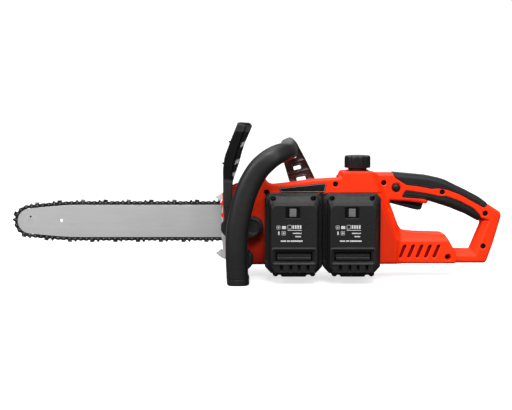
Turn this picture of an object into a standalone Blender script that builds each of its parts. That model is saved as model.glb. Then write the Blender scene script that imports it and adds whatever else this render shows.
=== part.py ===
"""Cordless chainsaw with two battery packs, modelled as an assembly.

Frame: +X runs to the rear handle, so the guide bar points to -X; +Y is the bar side, the packs
are on -Y; +Z is up. The front handle's foot stands on Z = 0, and the two housing halves meet
at Y = 0. Sizes are in millimetres and turn into metres when a mesh is made.
Outlines are lists of (X, Z) points unless a comment says otherwise.
"""

import math

import bmesh
import bpy
from mathutils import Vector

MM = 0.001

# ---------------------------------------------------------------- shared sizes
# housing
LEFT_FACE = -38.0  # main body, battery side
RIGHT_FACE = 24.0  # main body, bar side
LEDGE_FACE = 40.0  # bar side above the sprocket cover
VENT_HALF = 30.0  # half width of the block behind the packs
LOOP_HALF = 17.5  # half width of the rear handle loop
PART_GAP = 0.15  # half of the gap between two case halves
WALL = 2.8
BASE_Z = 26.0  # underside of the housing
OVERCUT = 3.0  # how far a cutter reaches past the skin it opens

# axes and shafts; centres are (X, Z) for axes along Y
SPROCKET = (54.8, 86.8)
SHAFT_R = 4.0  # output shaft and bar stud
SHAFT_BORE_R = SHAFT_R + 0.3
STUD = (5.0, SPROCKET[1])
GUARD_PIVOT = (17.6, 86.9)
GUARD_SHAFT_R = 5.0
LOCK_OFF = (252.8, 145.8)
LOCK_OFF_R = 6.2
CAP = (191.8, 0.0)  # oil cap, X and Y
TRIGGER_HALF = 7.4
TRIGGER_WAY = (-TRIGGER_HALF - 0.5, TRIGGER_HALF + 0.5)  # Y range of the trigger's opening
PACKS = (85.5, 176.0)  # centres of the two battery packs along X

# housing screws
SCREW_SEAT = 5.4  # depth of a screw head's seat below the housing face
SCREWS_BODY = ((43.8, 140.3), (153.5, 153.0))
SCREWS_LOOP = ((232.8, 154.0), (327.2, 138.9), (397.2, 104.3), (394.8, 50.9), (335.9, 34.9))

# ---------------------------------------------------------------- start from an empty scene
for old in list(bpy.data.objects):
    bpy.data.objects.remove(old)


# ---------------------------------------------------------------- materials
def material(name, rgb, roughness, metallic=0.0):
    mat = bpy.data.materials.new(name)
    mat.use_nodes = True
    inputs = mat.node_tree.nodes["Principled BSDF"].inputs
    inputs["Base Color"].default_value = (*rgb, 1.0)
    inputs["Roughness"].default_value = roughness
    inputs["Metallic"].default_value = metallic
    return mat


RED = material("red_plastic", rgb=(0.86, 0.06, 0.01), roughness=0.38)
BLACK = material("black_plastic", rgb=(0.03, 0.03, 0.032), roughness=0.5)
SOFT = material("soft_grip", rgb=(0.022, 0.022, 0.024), roughness=0.75)
PACK_PLASTIC = material("pack_plastic", rgb=(0.04, 0.04, 0.042), roughness=0.5)
STEEL = material("steel", rgb=(0.55, 0.55, 0.56), roughness=0.35, metallic=1.0)
BAR_STEEL = material("bar_steel", rgb=(0.62, 0.62, 0.62), roughness=0.42, metallic=0.9)
DARK = material("dark_steel", rgb=(0.08, 0.08, 0.085), roughness=0.4, metallic=0.9)
ALUMINIUM = material("aluminium", rgb=(0.6, 0.6, 0.62), roughness=0.45, metallic=1.0)
COPPER = material("copper", rgb=(0.7, 0.35, 0.18), roughness=0.35, metallic=1.0)
TANK_PLASTIC = material("tank_plastic", rgb=(0.75, 0.75, 0.7), roughness=0.4)
RUBBER = material("rubber", rgb=(0.02, 0.02, 0.02), roughness=0.8)
BOARD_GREEN = material("board_green", rgb=(0.03, 0.2, 0.08), roughness=0.5)
GREY = material("grey_button", rgb=(0.35, 0.35, 0.36), roughness=0.5)
CELL_BLUE = material("cell_blue", rgb=(0.1, 0.25, 0.5), roughness=0.4)


# ---------------------------------------------------------------- plane geometry
def polar(centre, radius, angle):
    return (centre[0] + radius * math.cos(angle), centre[1] + radius * math.sin(angle))


def circle(centre, radius, segments):
    return [polar(centre, radius, 2 * math.pi * i / segments) for i in range(segments)]


def rect(x, z):
    """Rectangle outline from an X range and a Z range."""
    return [(x[0], z[0]), (x[1], z[0]), (x[1], z[1]), (x[0], z[1])]


def around(centre, half):
    """The range that reaches half to each side of centre."""
    return (centre - half, centre + half)


def area(outline):
    """Signed area, positive for a counter-clockwise outline."""
    pairs = zip(outline, outline[1:] + outline[:1])
    return sum(a[0] * b[1] - b[0] * a[1] for a, b in pairs) / 2


def inset(outline, distance):
    """The outline moved inwards by distance along the mitre of each corner."""
    turn = 1.0 if area(outline) > 0 else -1.0
    moved = []
    for i, point in enumerate(outline):
        corner = Vector(point)
        edge_in = (corner - Vector(outline[i - 1])).normalized()
        edge_out = (Vector(outline[(i + 1) % len(outline)]) - corner).normalized()
        normal_in = Vector((-edge_in.y, edge_in.x)) * turn
        normal_out = Vector((-edge_out.y, edge_out.x)) * turn
        sharpness = max(0.35, 1 + normal_in.dot(normal_out))  # limits the mitre's length
        moved.append(tuple(corner + (normal_in + normal_out) * (distance / sharpness)))
    return moved


# ---------------------------------------------------------------- mesh helpers
def place(point, height, axis):
    """A point in metres from plane coordinates, X-Z or X-Y, and a height along axis Y or Z."""
    first, second = point
    if axis == "Y":
        return Vector((first, height, second)) * MM
    return Vector((first, second, height)) * MM


def finish(name, bm, mat):
    bmesh.ops.recalc_face_normals(bm, faces=bm.faces[:])
    mesh = bpy.data.meshes.new(name)
    bm.to_mesh(mesh)
    bm.free()
    if mat is not None:
        mesh.materials.append(mat)
    obj = bpy.data.objects.new(name, mesh)
    bpy.context.scene.collection.objects.link(obj)
    mesh.shade_smooth()
    mesh.set_sharp_from_angle(angle=math.radians(32))
    return obj


def loft(name, rings, mat, closed=False):
    """Skin between rings of equal point count; the end rings are capped unless closed."""
    bm = bmesh.new()
    rows = [[bm.verts.new(point) for point in ring] for ring in rings]
    count = len(rows[0])
    pairs = list(zip(rows, rows[1:]))
    if closed:
        pairs.append((rows[-1], rows[0]))
    for row, following in pairs:
        for i in range(count):
            j = (i + 1) % count
            bm.faces.new((row[i], row[j], following[j], following[i]))
    if not closed:
        bm.faces.new(list(reversed(rows[0])))
        bm.faces.new(rows[-1])
    return finish(name, bm, mat)


def prism(name, outline, start, end, mat=None, axis="Y", low=0.0, high=0.0):
    """An outline extruded along axis; low and high are the chamfers at start and end."""
    sections = [(outline, start + low), (outline, end - high)]
    if low:
        sections.insert(0, (inset(outline, low), start))
    if high:
        sections.append((inset(outline, high), end))
    rings = [[place(point, height, axis) for point in points] for points, height in sections]
    return loft(name, rings, mat)


def box(name, x, y, z, mat=None):
    return prism(name, rect(x, z), y[0], y[1], mat)


def disc(name, centre, radius, start, end, mat=None, axis="Y", segments=20, low=0.0, high=0.0):
    return prism(name, circle(centre, radius, segments), start, end, mat, axis, low, high)


def turned(name, centre, profile, mat, axis="Y", segments=24):
    """A ring: a closed profile of (radius, height) points turned about an axis."""
    rings = []
    for i in range(segments):
        angle = 2 * math.pi * i / segments
        rings.append([place(polar(centre, radius, angle), height, axis)
                      for radius, height in profile])
    return loft(name, rings, mat, closed=True)


def spindle(name, centre, profile, mat, axis="Y", segments=24):
    """A solid shaft: a stack of circles (radius, height) about an axis."""
    rings = [[place(point, height, axis) for point in circle(centre, radius, segments)]
             for radius, height in profile]
    return loft(name, rings, mat)


def tube(name, stations, mat, segments=12):
    """A tube of oval section through stations (x, y, z, half width, half depth).

    The section turns with the path.
    """
    path = [Vector(station[:3]) for station in stations]
    lies_along_x = abs((path[1] - path[0]).normalized().x) >= 0.9
    side = Vector((0, 1, 0)) if lies_along_x else Vector((1, 0, 0))
    rings = []
    for i, (*_, half_width, half_depth) in enumerate(stations):
        along_path = (path[min(i + 1, len(path) - 1)] - path[max(i - 1, 0)]).normalized()
        side = (side - along_path * side.dot(along_path)).normalized()
        across = along_path.cross(side)
        ring = []
        for j in range(segments):
            angle = 2 * math.pi * j / segments
            ring.append((path[i] + side * (half_width * math.cos(angle))
                         + across * (half_depth * math.sin(angle))) * MM)
        rings.append(ring)
    return loft(name, rings, mat)


def combine(obj, others, operation):
    """Bakes a boolean of obj with each other object, then removes the others."""
    for other in others:
        mod = obj.modifiers.new("boolean", "BOOLEAN")
        mod.solver = "EXACT"
        mod.operation = operation
        mod.object = other
    bpy.context.view_layer.update()
    graph = bpy.context.evaluated_depsgraph_get()
    mesh = bpy.data.meshes.new_from_object(obj.evaluated_get(graph))
    obj.modifiers.clear()
    old_mesh = obj.data
    obj.data = mesh
    bpy.data.meshes.remove(old_mesh)
    for other in others:
        bpy.data.objects.remove(other)
    return obj


def cut(obj, *others):
    return combine(obj, others, "DIFFERENCE")


def join(obj, *others):
    return combine(obj, others, "UNION")


def merged(name, objs):
    """Several closed shapes held in one helper mesh."""
    bm = bmesh.new()
    for obj in objs:
        bm.from_mesh(obj.data)
    for obj in objs:
        bpy.data.objects.remove(obj)
    return finish(name, bm, None)


# ---------------------------------------------------------------- housing outlines
MAIN = [
    (-24, BASE_Z), (251.5, BASE_Z), (251.5, 63), (240, 96), (224.2, 136.8),
    (209, 170), (205, 172.8), (163.6, 172.8), (161.5, 164.6), (119.3, 162.2), (79.2, 156.3),
    (48.2, 152.9), (34, 172), (4, 172), (-6, 167), (-24, 148),
]
# the ledge follows the top edge of the main body, which starts at its sixth point
LEDGE = [(224.2, 138), (-24, 138)] + MAIN[:4:-1]
VENT = [
    (236, BASE_Z), (352, BASE_Z), (347, 45), (333, 69.3), (328, 71.5), (283.6, 73),
    (263, 75.8), (244, 110), (228, 118),
]
LOOP = [
    (200, BASE_Z), (398, BASE_Z), (402, 29.5), (412.4, 58.8), (423.6, 100.5), (421.7, 106.7),
    (406.2, 116.5), (386.4, 130), (365.7, 140.9), (344.8, 150.9), (330, 158.4),
    (313.4, 162.3), (300.3, 164.9), (274.1, 167.3), (249.4, 169.6), (222.5, 169.8),
    (200, 169.8),
]
WINDOW = [
    (243.7, 125.7), (261.5, 78), (265, 75.2), (283.6, 73), (328.4, 71.5), (333.1, 69.3),
    (348, 45.6), (376.1, 45.6), (392.2, 88.5), (365.7, 103.6), (339.6, 115), (306.5, 125.5),
    (302, 119.4), (297.1, 120.7), (275.4, 123.6),
]
ARM_HOLLOW = [
    (215, 163.5), (249, 163.8), (273.5, 161.6), (299, 159), (328, 152.8), (342, 146),
    (363, 135.8), (384, 125), (396, 116), (388, 97.5), (367, 109.5), (341, 121),
    (306, 131.8), (297, 128), (275, 130), (246, 132), (226, 142),
]
REAR_HOLLOW = [
    (236, BASE_Z + WALL), (346, BASE_Z + WALL), (342, 48), (330.5, 67), (283, 70), (262, 73),
    (241, 108), (225, 118),
]
ARM_HOLLOW_HALF = 11.5

POST_R = 6.2
SCREW_BORE_R = 2.2
SCREW_SINK_R = 4.2
RIGHT_BORE_DEPTH = 13.5  # blind end of the screw bores in the bar half
VENT_SLOTS = 5
VENT_SLOT_X = 261.0  # middle of the first slot
VENT_SLOT_PITCH = 13.3


# ---------------------------------------------------------------- housing halves
def housing(name, side):
    """One housing half; side is -1 for the battery half and +1 for the bar half."""
    battery_half = side < 0
    face = -LEFT_FACE if battery_half else RIGHT_FACE
    vent_face = VENT_HALF if battery_half else RIGHT_FACE - 1.0

    def solid(outline, inner, outer, mat=None, chamfer=0.0, name="solid"):
        """A prism between two distances from the parting plane, chamfered at the outer end."""
        start, end = sorted((side * inner, side * outer))
        low, high = (chamfer, 0.0) if battery_half else (0.0, chamfer)
        return prism(name, outline, start, end, mat, low=low, high=high)

    body = solid(MAIN, PART_GAP, face, RED, 4.0 if battery_half else 2.0, name)
    vent = solid(VENT, PART_GAP, vent_face, RED, 4.0)
    loop = solid(LOOP, PART_GAP, LOOP_HALF, RED, 5.0)
    cut(loop, solid(WINDOW, -2, LOOP_HALF + 4))
    shapes = [vent, loop]
    if not battery_half:
        # a hair inside the body, so that no two faces coincide
        shapes.append(solid(inset(LEDGE, 0.02), PART_GAP, LEDGE_FACE, RED, 4.0))
    join(body, *shapes)

    # one hollow for each block
    cut(body, solid(inset(MAIN, WALL), -OVERCUT, face - WALL))
    cut(body, solid(REAR_HOLLOW, -OVERCUT, vent_face - WALL))
    cut(body, solid(ARM_HOLLOW, -OVERCUT, ARM_HOLLOW_HALF))

    # screw posts, bored for the shank, with a head recess on the battery half
    posts = []
    cuts = []
    for centre in SCREWS_BODY + SCREWS_LOOP:
        outer = face if centre in SCREWS_BODY else LOOP_HALF
        posts.append(solid(circle(centre, POST_R, 12), PART_GAP, outer - 1.2))
        bore_end = outer if battery_half else RIGHT_BORE_DEPTH
        cuts.append(solid(circle(centre, SCREW_BORE_R, 10), -OVERCUT, bore_end))
        if battery_half:
            sink = circle(centre, SCREW_SINK_R, 14)
            cuts.append(solid(sink, outer - SCREW_SEAT, outer + OVERCUT))
    join(body, *posts)

    # openings: trigger slot, lock-off button, oil filler, guard shaft
    cuts.append(box("trigger_slot", (244.5, 300.0), TRIGGER_WAY, (112, 134)))
    cuts.append(solid(circle(LOCK_OFF, LOCK_OFF_R + 0.4, 20), -OVERCUT, 30))
    cuts.append(disc("filler", CAP, 15.0, 160, 180, axis="Z", segments=24))
    cuts.append(solid(circle(GUARD_PIVOT, GUARD_SHAFT_R + 0.4, 16), -OVERCUT, 45))
    if battery_half:
        for i in range(VENT_SLOTS):
            x = VENT_SLOT_X + VENT_SLOT_PITCH * i
            slot = [(x - 5.3, 36.0), (x - 2.1, 36.0), (x + 5.3, 54.0), (x + 2.1, 54.0)]
            cuts.append(prism("slot", slot, -34, -24))
    else:
        cuts.append(disc("gear_hole", SPROCKET, 13.2, 18, 27, segments=24))
    for cutter in cuts:
        cut(body, cutter)
    return body


left = housing("left_housing", -1)
right = housing("right_housing", 1)

# ---------------------------------------------------------------- soft grips on the rear handle
# Each grip is an outline less its core; the core is the part of the loop that it wraps.
UPPER = [
    (247.5, 171.5), (249.6, 163.4), (259.7, 156.9), (269.7, 150.8), (285.5, 149.1),
    (310.7, 144.6), (322, 145.4), (334.9, 143.2), (356.5, 135.2), (387.2, 118.2),
    (395.4, 114.1), (402.5, 119.6), (387.4, 131.8), (366.7, 142.7), (345.8, 152.7),
    (330.7, 160.3), (313.8, 164.2), (300.6, 166.8), (274.4, 169.2),
]
UPPER_CORE = [
    (240, 175), (240, 140), (300, 130), (410, 90), (410, 108), (401.5, 115.3),
    (385.3, 127.9), (364.6, 138.8), (343.6, 148.9), (329.3, 156.3), (313, 160.2),
    (300, 162.8), (273.9, 165.2), (252.5, 167.2), (244.5, 167.6),
]
LOWER = [
    (262, 131.0), (268.3, 141.5), (278.4, 140.0), (298.5, 137.1), (314.3, 133.9),
    (322.7, 132.0), (333.9, 132.0), (356.5, 123.8), (378.0, 112.5), (390.0, 100.3),
    (386, 88.6), (364.6, 101.2), (338.6, 112.6), (308, 122.4), (303.5, 126.0),
    (297.5, 128.2), (276, 129.8),
]
LOWER_CORE = [
    (255, 150), (255, 128.0), (276, 132), (299, 131), (305, 129.5), (309, 127.2),
    (340.4, 117.3), (366.7, 105.7), (384, 96.2), (400, 90), (400, 150),
]
GRIP_OUT = 18.8  # half width over the grip
GRIP_IN = 14.6  # half width of its core
GRIP_GAP = 0.35


def grip(name, outline, core):
    """A grip, with the room for it cut into both housing halves."""
    shell = prism(name, outline, -GRIP_OUT, GRIP_OUT, SOFT, low=1.5, high=1.5)
    cut(shell, prism("core", core, -GRIP_IN, GRIP_IN))
    for half in (left, right):
        reach = GRIP_OUT + OVERCUT
        room = prism("room", inset(outline, -GRIP_GAP), -reach, reach)
        core_half = GRIP_IN - GRIP_GAP
        cut(room, prism("core", inset(core, GRIP_GAP), -core_half, core_half))
        cut(half, room)
    return shell


grip("upper_grip", UPPER, UPPER_CORE)
lower_grip = grip("lower_grip", LOWER, LOWER_CORE)
cut(lower_grip, box("trigger_way", (240, 300.0), TRIGGER_WAY, (112, 138)))

# ---------------------------------------------------------------- blank badge, battery side
BADGE = [(62.4, 147.2), (67.5, 140.0), (136.4, 140.2), (139.2, 155.4)]
DOCK_BACK = LEFT_FACE - 0.3  # what is mounted on the left face stands just clear of it
prism("badge_plate", BADGE, -39.4, DOCK_BACK, BLACK)

# ---------------------------------------------------------------- battery dock and its contacts
RAIL_Z = (42, 128)
WEB_HALF = 20  # the T rails: half width of the web and of the flange
FLANGE_HALF = 24

dock = box("battery_dock", (42, 219.5), (-41.6, DOCK_BACK), (31, 138.6), BLACK)
for pack_x in PACKS:
    web = box("web", around(pack_x, WEB_HALF), (-45.2, -41.0), RAIL_Z)
    flange = box("flange", around(pack_x, FLANGE_HALF), (-47.6, -44.8), RAIL_Z)
    join(dock, web, flange)
join(dock, disc("boss", (sum(PACKS) / 2, 134.5), 5.5, -45.4, -41.0, segments=16))

for number, pack_x in enumerate(PACKS, 1):
    comb_name = f"terminal_comb_{number}"
    comb = box(comb_name, around(pack_x, 10), (-49.4, -47.9), (72, 100), COPPER)
    blades = [box("blade", around(pack_x + shift, 0.6), (-53, -49.0), (76, 98))
              for shift in (-7, 0, 7)]
    join(comb, *blades)

# ---------------------------------------------------------------- battery packs
PACK_FACE = -98.0
PACK_SEAM = -72.0
PACK_BACK = -46.3
PACK_CUT = (-101, -92)  # Y range of the openings in the face
BUTTON_GAP = 0.4
RAIL_GAP = 0.5
SLOT_TOP = 150  # the rail slots run out through the top of the pack
# each section: half width, half width of the bottom edge and of the top edge,
# then Z of the bottom edge, lower corner, upper corner and top edge
PACK_RIM = (44.8, 35, 38, 16.4, 27, 134, 141)
PACK_MID = (38.5, 31, 33, 16.4, 26, 132, 138.6)
PACK_NEAR = (35.5, 29, 30, 20, 30, 120, 125.4)


def pack_outline(x, section):
    half, bottom_half, top_half, bottom, lower, upper, top = section
    return [
        (x - half, lower), (x - bottom_half, bottom), (x + bottom_half, bottom),
        (x + half, lower), (x + half, upper), (x + top_half, top), (x - top_half, top),
        (x - half, upper),
    ]


def battery_pack(prefix, x):
    """One pack: two case halves, latch, gauge button and cell block."""
    near = pack_outline(x, PACK_NEAR)
    mid = pack_outline(x, PACK_MID)
    rim = pack_outline(x, PACK_RIM)
    latch = rect(around(x, 27), (39.3, 49.2))
    gauge = rect(around(x, 6.2), (107.2, 119.4))

    sections = ((near, PACK_FACE), (mid, -91), (mid, -77), (rim, -74.5),
                (rim, PACK_SEAM - PART_GAP))
    rings = [[place(point, y, "Y") for point in outline] for outline, y in sections]
    front = loft(f"{prefix}_case_front", rings, PACK_PLASTIC)
    cut(front, prism("hollow", inset(near, 1.0), -95.6, -70))
    for outline in (latch, gauge):
        cut(front, prism("opening", inset(outline, -BUTTON_GAP), *PACK_CUT))

    back = prism(f"{prefix}_case_back", rim, PACK_SEAM + PART_GAP, PACK_BACK, PACK_PLASTIC,
                 high=2.0)
    cut(back, prism("hollow", inset(rim, 2.6), -76, -57.5))
    cut(back, box("rail_neck", around(x, WEB_HALF + RAIL_GAP), (-46.9, -44), (41.4, SLOT_TOP)))
    cut(back, box("rail_slot", around(x, FLANGE_HALF + RAIL_GAP), (-48.2, -44.4),
                  (41.4, SLOT_TOP)))
    cut(back, box("contact_slot", around(x, 13), (-54, -47.8), (70, SLOT_TOP)))

    prism(f"{prefix}_latch", latch, -98.6, -88, PACK_PLASTIC, low=1.6)
    prism(f"{prefix}_gauge_button", gauge, -98.3, -93.5, GREY, low=0.6)
    box(f"{prefix}_cells", around(x, 31), (-88, -58.5), (56, 118), CELL_BLUE)


for number, pack_x in enumerate(PACKS, 1):
    battery_pack(f"pack{number}", pack_x)

# ---------------------------------------------------------------- front handle
# up the battery side, over the top and across to the bar side: x, y, z, half width, half depth
HANDLE_STATIONS = [
    (-1, -88, 6, 16, 12.5), (-3, -88, 36, 17, 13), (-2.8, -88, 62, 17.2, 13.5),
    (-1.6, -88, 88, 17.3, 13.5), (3.5, -88, 114, 17.4, 13.5), (9.5, -88, 137, 17.4, 13.5),
    (18, -88, 158, 17.2, 13.5), (30, -88, 178, 17, 13.5), (44, -88, 192.5, 16.6, 13.5),
    (58, -85, 202.5, 15.8, 13.5), (70, -76, 208.8, 15.2, 13.2), (77, -62, 212, 15, 13),
    (80, -44, 213, 15, 13), (81, -14, 213, 15, 13), (81, 12, 213, 15, 13),
    (81.5, 31, 212, 15, 12),
]
FOOT = [(-17, 0), (16, 0), (18, 8), (18, 25.6), (-19, 25.6), (-19.5, 12)]
LADDER = [
    (82.4, 157.6), (123.4, 163.4), (112, 186), (97.5, 214), (92, 221), (72, 222), (66, 208),
    (73.5, 183),
]
# lower edge of each gap between the rungs: X and Z of its front end, X and Z of its rear end
RUNG_GAPS = [(92, 163.5, 108, 167.0), (89, 175.0, 102.5, 178.2), (86.5, 186.5, 97, 189.3)]
RUNG_GAP_H = 6.5

handle = tube("front_handle", HANDLE_STATIONS, BLACK)
foot = prism("foot", FOOT, -101, 19, low=3.0, high=3.0)
ladder = prism("ladder", LADDER, 25, 37.5, low=1.5, high=1.5)
for front_x, front_z, rear_x, rear_z in RUNG_GAPS:
    gap = [
        (front_x, front_z), (rear_x, rear_z),
        (rear_x - 3.0, rear_z + RUNG_GAP_H), (front_x - 1.8, front_z + RUNG_GAP_H),
    ]
    cut(ladder, prism("rung_gap", gap, 20, 42))
join(handle, foot, ladder)

# ---------------------------------------------------------------- hand guard
NEAR_ARM = [
    (-1, 251), (-12, 224), (-22, 197), (-24.5, 178), (-24, 120), (-27.5, 95), (-27.5, 78),
    (-21, 71.5), (17.6, 69.5), (29.5, 74), (35.5, 86.9), (29.5, 99.5), (17.6, 104.5),
    (-4, 104.5), (-10, 112), (-9.5, 160), (0, 186), (6, 208), (14, 232), (21, 245),
    (17, 250),
]
SHEET = [
    (-24.5, 176), (-22, 197), (-12.5, 222), (-1, 251), (17, 250), (16, 245.5), (3, 246),
    (-7.5, 222), (-17.5, 196), (-19.5, 176),
]
FAR_ARM = [
    (-24.5, 172), (-22, 197), (-12.5, 222), (-1, 251), (17, 250), (21, 245), (10, 220),
    (0, 195), (-6, 172),
]
BRAKE_ARM = [(14.5, 84), (27, 79.5), (30.2, 83.5), (29, 87.5), (20.5, 91)]

guard = prism("hand_guard", NEAR_ARM, -66, -59.5, BLACK, low=1.5)
join(
    guard,
    prism("sheet", SHEET, -60.5, 38),
    prism("far_arm", FAR_ARM, 34, 40, high=1.5),
    disc("guard_boss", GUARD_PIVOT, 15.5, -61, -38.5, segments=24),
)
cut(guard, disc("guard_bore", GUARD_PIVOT, GUARD_SHAFT_R + 0.3, -64, -30, segments=16))

# cross shaft with the brake arm
guard_shaft = spindle(
    "guard_shaft", GUARD_PIVOT, [(GUARD_SHAFT_R, -63.6), (GUARD_SHAFT_R, 23.6)], STEEL,
    segments=16,
)
join(guard_shaft, prism("brake_arm", BRAKE_ARM, 14.8, 19.8))

# ---------------------------------------------------------------- spikes on the housing's front
SPIKE_TIPS = (34, 64, 96, 128)  # Z

spikes = [(-24.6, 29)]
for tip in SPIKE_TIPS:
    spikes += [(-29.5, tip - 8), (-40.5, tip), (-29.5, tip + 6)]
spikes += [(-27, 136), (-24.6, 138)]
bumper = prism("bumper_spikes", spikes, 19.6, 21.8, STEEL)
join(bumper, box("flange", (-26.8, -24.4), (-22, 20.5), (33, 134)))

# ---------------------------------------------------------------- bar plate and stud
BAR_PLATE = [(-20, 34), (80, 34), (95, 60), (95, 112), (80, 130), (-20, 130)]
BEARING_R = 9.4
BEARING_SEAT_R = BEARING_R + 0.3

plate = prism("bar_plate", BAR_PLATE, 24.3, 27.0, ALUMINIUM)
join(
    plate,
    prism("pad", rect((-18, 24), (74.5, 99)), 26.5, 29.7),
    disc("boss", SPROCKET, 12.6, 21.6, 27.4, segments=24),
)
cut(plate, disc("bearing_seat", SPROCKET, BEARING_SEAT_R, 15, 26.2, segments=24))
cut(plate, disc("shaft_hole", SPROCKET, 6.2, 20, 35, segments=20))
cut(plate, disc("stud_hole", STUD, SHAFT_R + 0.3, 25.4, 35, segments=16))
spindle("bar_stud", STUD, [(SHAFT_R, 25.7), (SHAFT_R, 65.4), (3.2, 66.2)], STEEL, segments=16)

# ---------------------------------------------------------------- shaft bearings and gear case
GEAR_MODULE = 1.25
PINION_TEETH = 10
GEAR_TEETH = 35
GEAR_ANGLE = math.radians(30.0)  # direction from the output shaft to the motor
MOTOR = polar(SPROCKET, GEAR_MODULE * (PINION_TEETH + GEAR_TEETH) / 2, GEAR_ANGLE)
MOTOR_SHAFT_R = 2.5
MOTOR_BORE_R = MOTOR_SHAFT_R + 0.3
GEAR_CASE = [(30, 62), (80, 58), (112, 78), (116, 120), (84, 132), (46, 120), (30, 100)]

for name, span in (("outer_bearing", (21.7, 25.9)), ("inner_bearing", (2.9, 6.0))):
    turned(name, SPROCKET, rect((SHAFT_R + 0.25, BEARING_R), span), STEEL)

case = prism("gear_case", GEAR_CASE, 2.6, 6.2, ALUMINIUM)
cut(case, disc("bearing_seat", SPROCKET, BEARING_SEAT_R, 0, 10, segments=24))
cut(case, disc("pinion_hole", MOTOR, 8.4, 0, 10, segments=20))


# ---------------------------------------------------------------- gears and output shaft
def gear_outline(centre, teeth, tooth_at):
    """Involute teeth, one of them at angle tooth_at, with 0.2 mm taken off each flank."""
    pitch_r = GEAR_MODULE * teeth / 2
    base_r = pitch_r * math.cos(math.radians(20))
    tip_r = pitch_r + 0.7 * GEAR_MODULE
    root_r = pitch_r - 1.0 * GEAR_MODULE

    def involute(radius):
        pressure = math.acos(base_r / radius)
        return math.tan(pressure) - pressure

    half_tooth = math.pi / (2 * teeth) - 0.2 / pitch_r
    flank = [(radius, half_tooth + involute(pitch_r) - involute(radius))
             for radius in (max(base_r, root_r), pitch_r, tip_r)]
    foot_flare = 0.0 if root_r >= base_r else 0.01
    flank.insert(0, (root_r, flank[0][1] + foot_flare))
    outline = []
    for i in range(teeth):
        middle = tooth_at + 2 * math.pi * i / teeth
        outline += [polar(centre, radius, middle - half) for radius, half in flank]
        outline += [polar(centre, radius, middle + half) for radius, half in reversed(flank)]
    return outline


gear = prism("output_gear", gear_outline(SPROCKET, GEAR_TEETH, GEAR_ANGLE), 7.4, 13.4, STEEL)
cut(gear, disc("bore", SPROCKET, SHAFT_BORE_R, 0, 20))
# a gap of the pinion faces the gear's tooth
pinion_tooth_at = GEAR_ANGLE + math.pi + math.pi / PINION_TEETH
pinion_teeth = gear_outline(MOTOR, PINION_TEETH, pinion_tooth_at)
pinion = prism("motor_pinion", pinion_teeth, 7.0, 13.8, STEEL)
cut(pinion, disc("bore", MOTOR, MOTOR_BORE_R, 0, 20, segments=14))

spindle("output_shaft", SPROCKET, [(SHAFT_R, 2.9), (SHAFT_R, 38.6), (3.2, 39.4)], STEEL,
        segments=20)

# ---------------------------------------------------------------- chain brake
DRUM_R = 22
DRUM_PROFILE = [  # radius, Y
    (SHAFT_BORE_R, 14.0), (DRUM_R, 14.0), (DRUM_R, 20.6), (19.6, 20.6), (19.6, 16.2),
    (SHAFT_BORE_R, 16.2),
]
turned("brake_drum", SPROCKET, DRUM_PROFILE, DARK, segments=32)

BAND_STEPS = 28
BAND_REACH = 160  # degrees to each side of +X; the band is open towards -X
band_angles = [math.radians(-BAND_REACH + 2 * BAND_REACH * i / BAND_STEPS)
               for i in range(BAND_STEPS + 1)]
band = [polar(SPROCKET, DRUM_R + 1.5, angle) for angle in band_angles]
band += [polar(SPROCKET, DRUM_R + 0.4, angle) for angle in reversed(band_angles)]
prism("brake_band", band, 14.2, 20.4, DARK)

# ---------------------------------------------------------------- motor
turned("motor_stator", MOTOR, rect((14.2, 25), (-21, 2.2)), COPPER, segments=28)

ROTOR_R = 13.6
ROTOR_PROFILE = [  # radius, Y
    (MOTOR_SHAFT_R, -32), (MOTOR_SHAFT_R, -22), (ROTOR_R, -22), (ROTOR_R, 1.6),
    (MOTOR_SHAFT_R, 1.6), (MOTOR_SHAFT_R, 14.4),
]
spindle("motor_rotor", MOTOR, ROTOR_PROFILE, STEEL, segments=20)

FAN_BLADES = 9
FAN_BLADE = ((8.0, 0.10), (22.5, 0.02), (22.5, 0.16), (8.0, 0.42))  # radius, angle in radians
fan_outline = [polar(MOTOR, radius, 2 * math.pi * i / FAN_BLADES + turn)
               for i in range(FAN_BLADES) for radius, turn in FAN_BLADE]
fan = prism("motor_fan", fan_outline, -30.5, -24.5, BLACK)
cut(fan, disc("bore", MOTOR, MOTOR_BORE_R, -35, -20, segments=14))


# ---------------------------------------------------------------- drive sprocket
def sprocket_outline(centre, teeth, root, tip, phase):
    """Straight-sided teeth between the root and tip radii, the first at angle phase."""
    pitch = 2 * math.pi / teeth
    # radius and angle as a share of the tooth pitch
    tooth = ((root, -0.45), (root, -0.336), (tip, -0.1764), (tip, 0.1764), (root, 0.336))
    return [polar(centre, radius, phase + pitch * i + pitch * share)
            for i in range(teeth) for radius, share in tooth]


drive_teeth = sprocket_outline(SPROCKET, teeth=7, root=12.0, tip=16.8, phase=0.0)
drive = prism("drive_sprocket", drive_teeth, 30.0, 34.0, DARK)
join(drive, disc("hub", SPROCKET, 9.0, 28.0, 37.4))
cut(drive, disc("bore", SPROCKET, SHAFT_BORE_R, 20, 45))

# ---------------------------------------------------------------- guide bar
BAR_Y = 32.0  # middle of the guide bar
BAR_Z = SPROCKET[1]
BAR_T = 4.0
BAR_HALF = 27.0  # half height
NOSE_R = 21.0
NOSE = (-349.4, BAR_Z)
TAIL_X = 26.0
CROWN = 85.0  # length over which the bar widens behind its nose
GROOVE_DEPTH = 5.6
GROOVE_W = 1.6
NOSE_RIVET_R = 3.0
NOSE_BORE_R = NOSE_RIVET_R + 0.3
TENSION_HOLE = (-2.0, 70.5)
HANG_HOLE = (-297.4, 87.9)
TOP_STATIONS = [10.0, -100.0] + [NOSE[0] + CROWN * (6 - i) / 6 for i in range(6)]  # X
# the tapered tail: X and height over the bar's middle
TAIL = [
    (TAIL_X, 12.0), (TAIL_X - 6.0, 17.0), (TAIL_X - 18.0, 23.3), (TAIL_X - 31.0, 26.4),
    (TAIL_X - 43.0, BAR_HALF),
]


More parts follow.
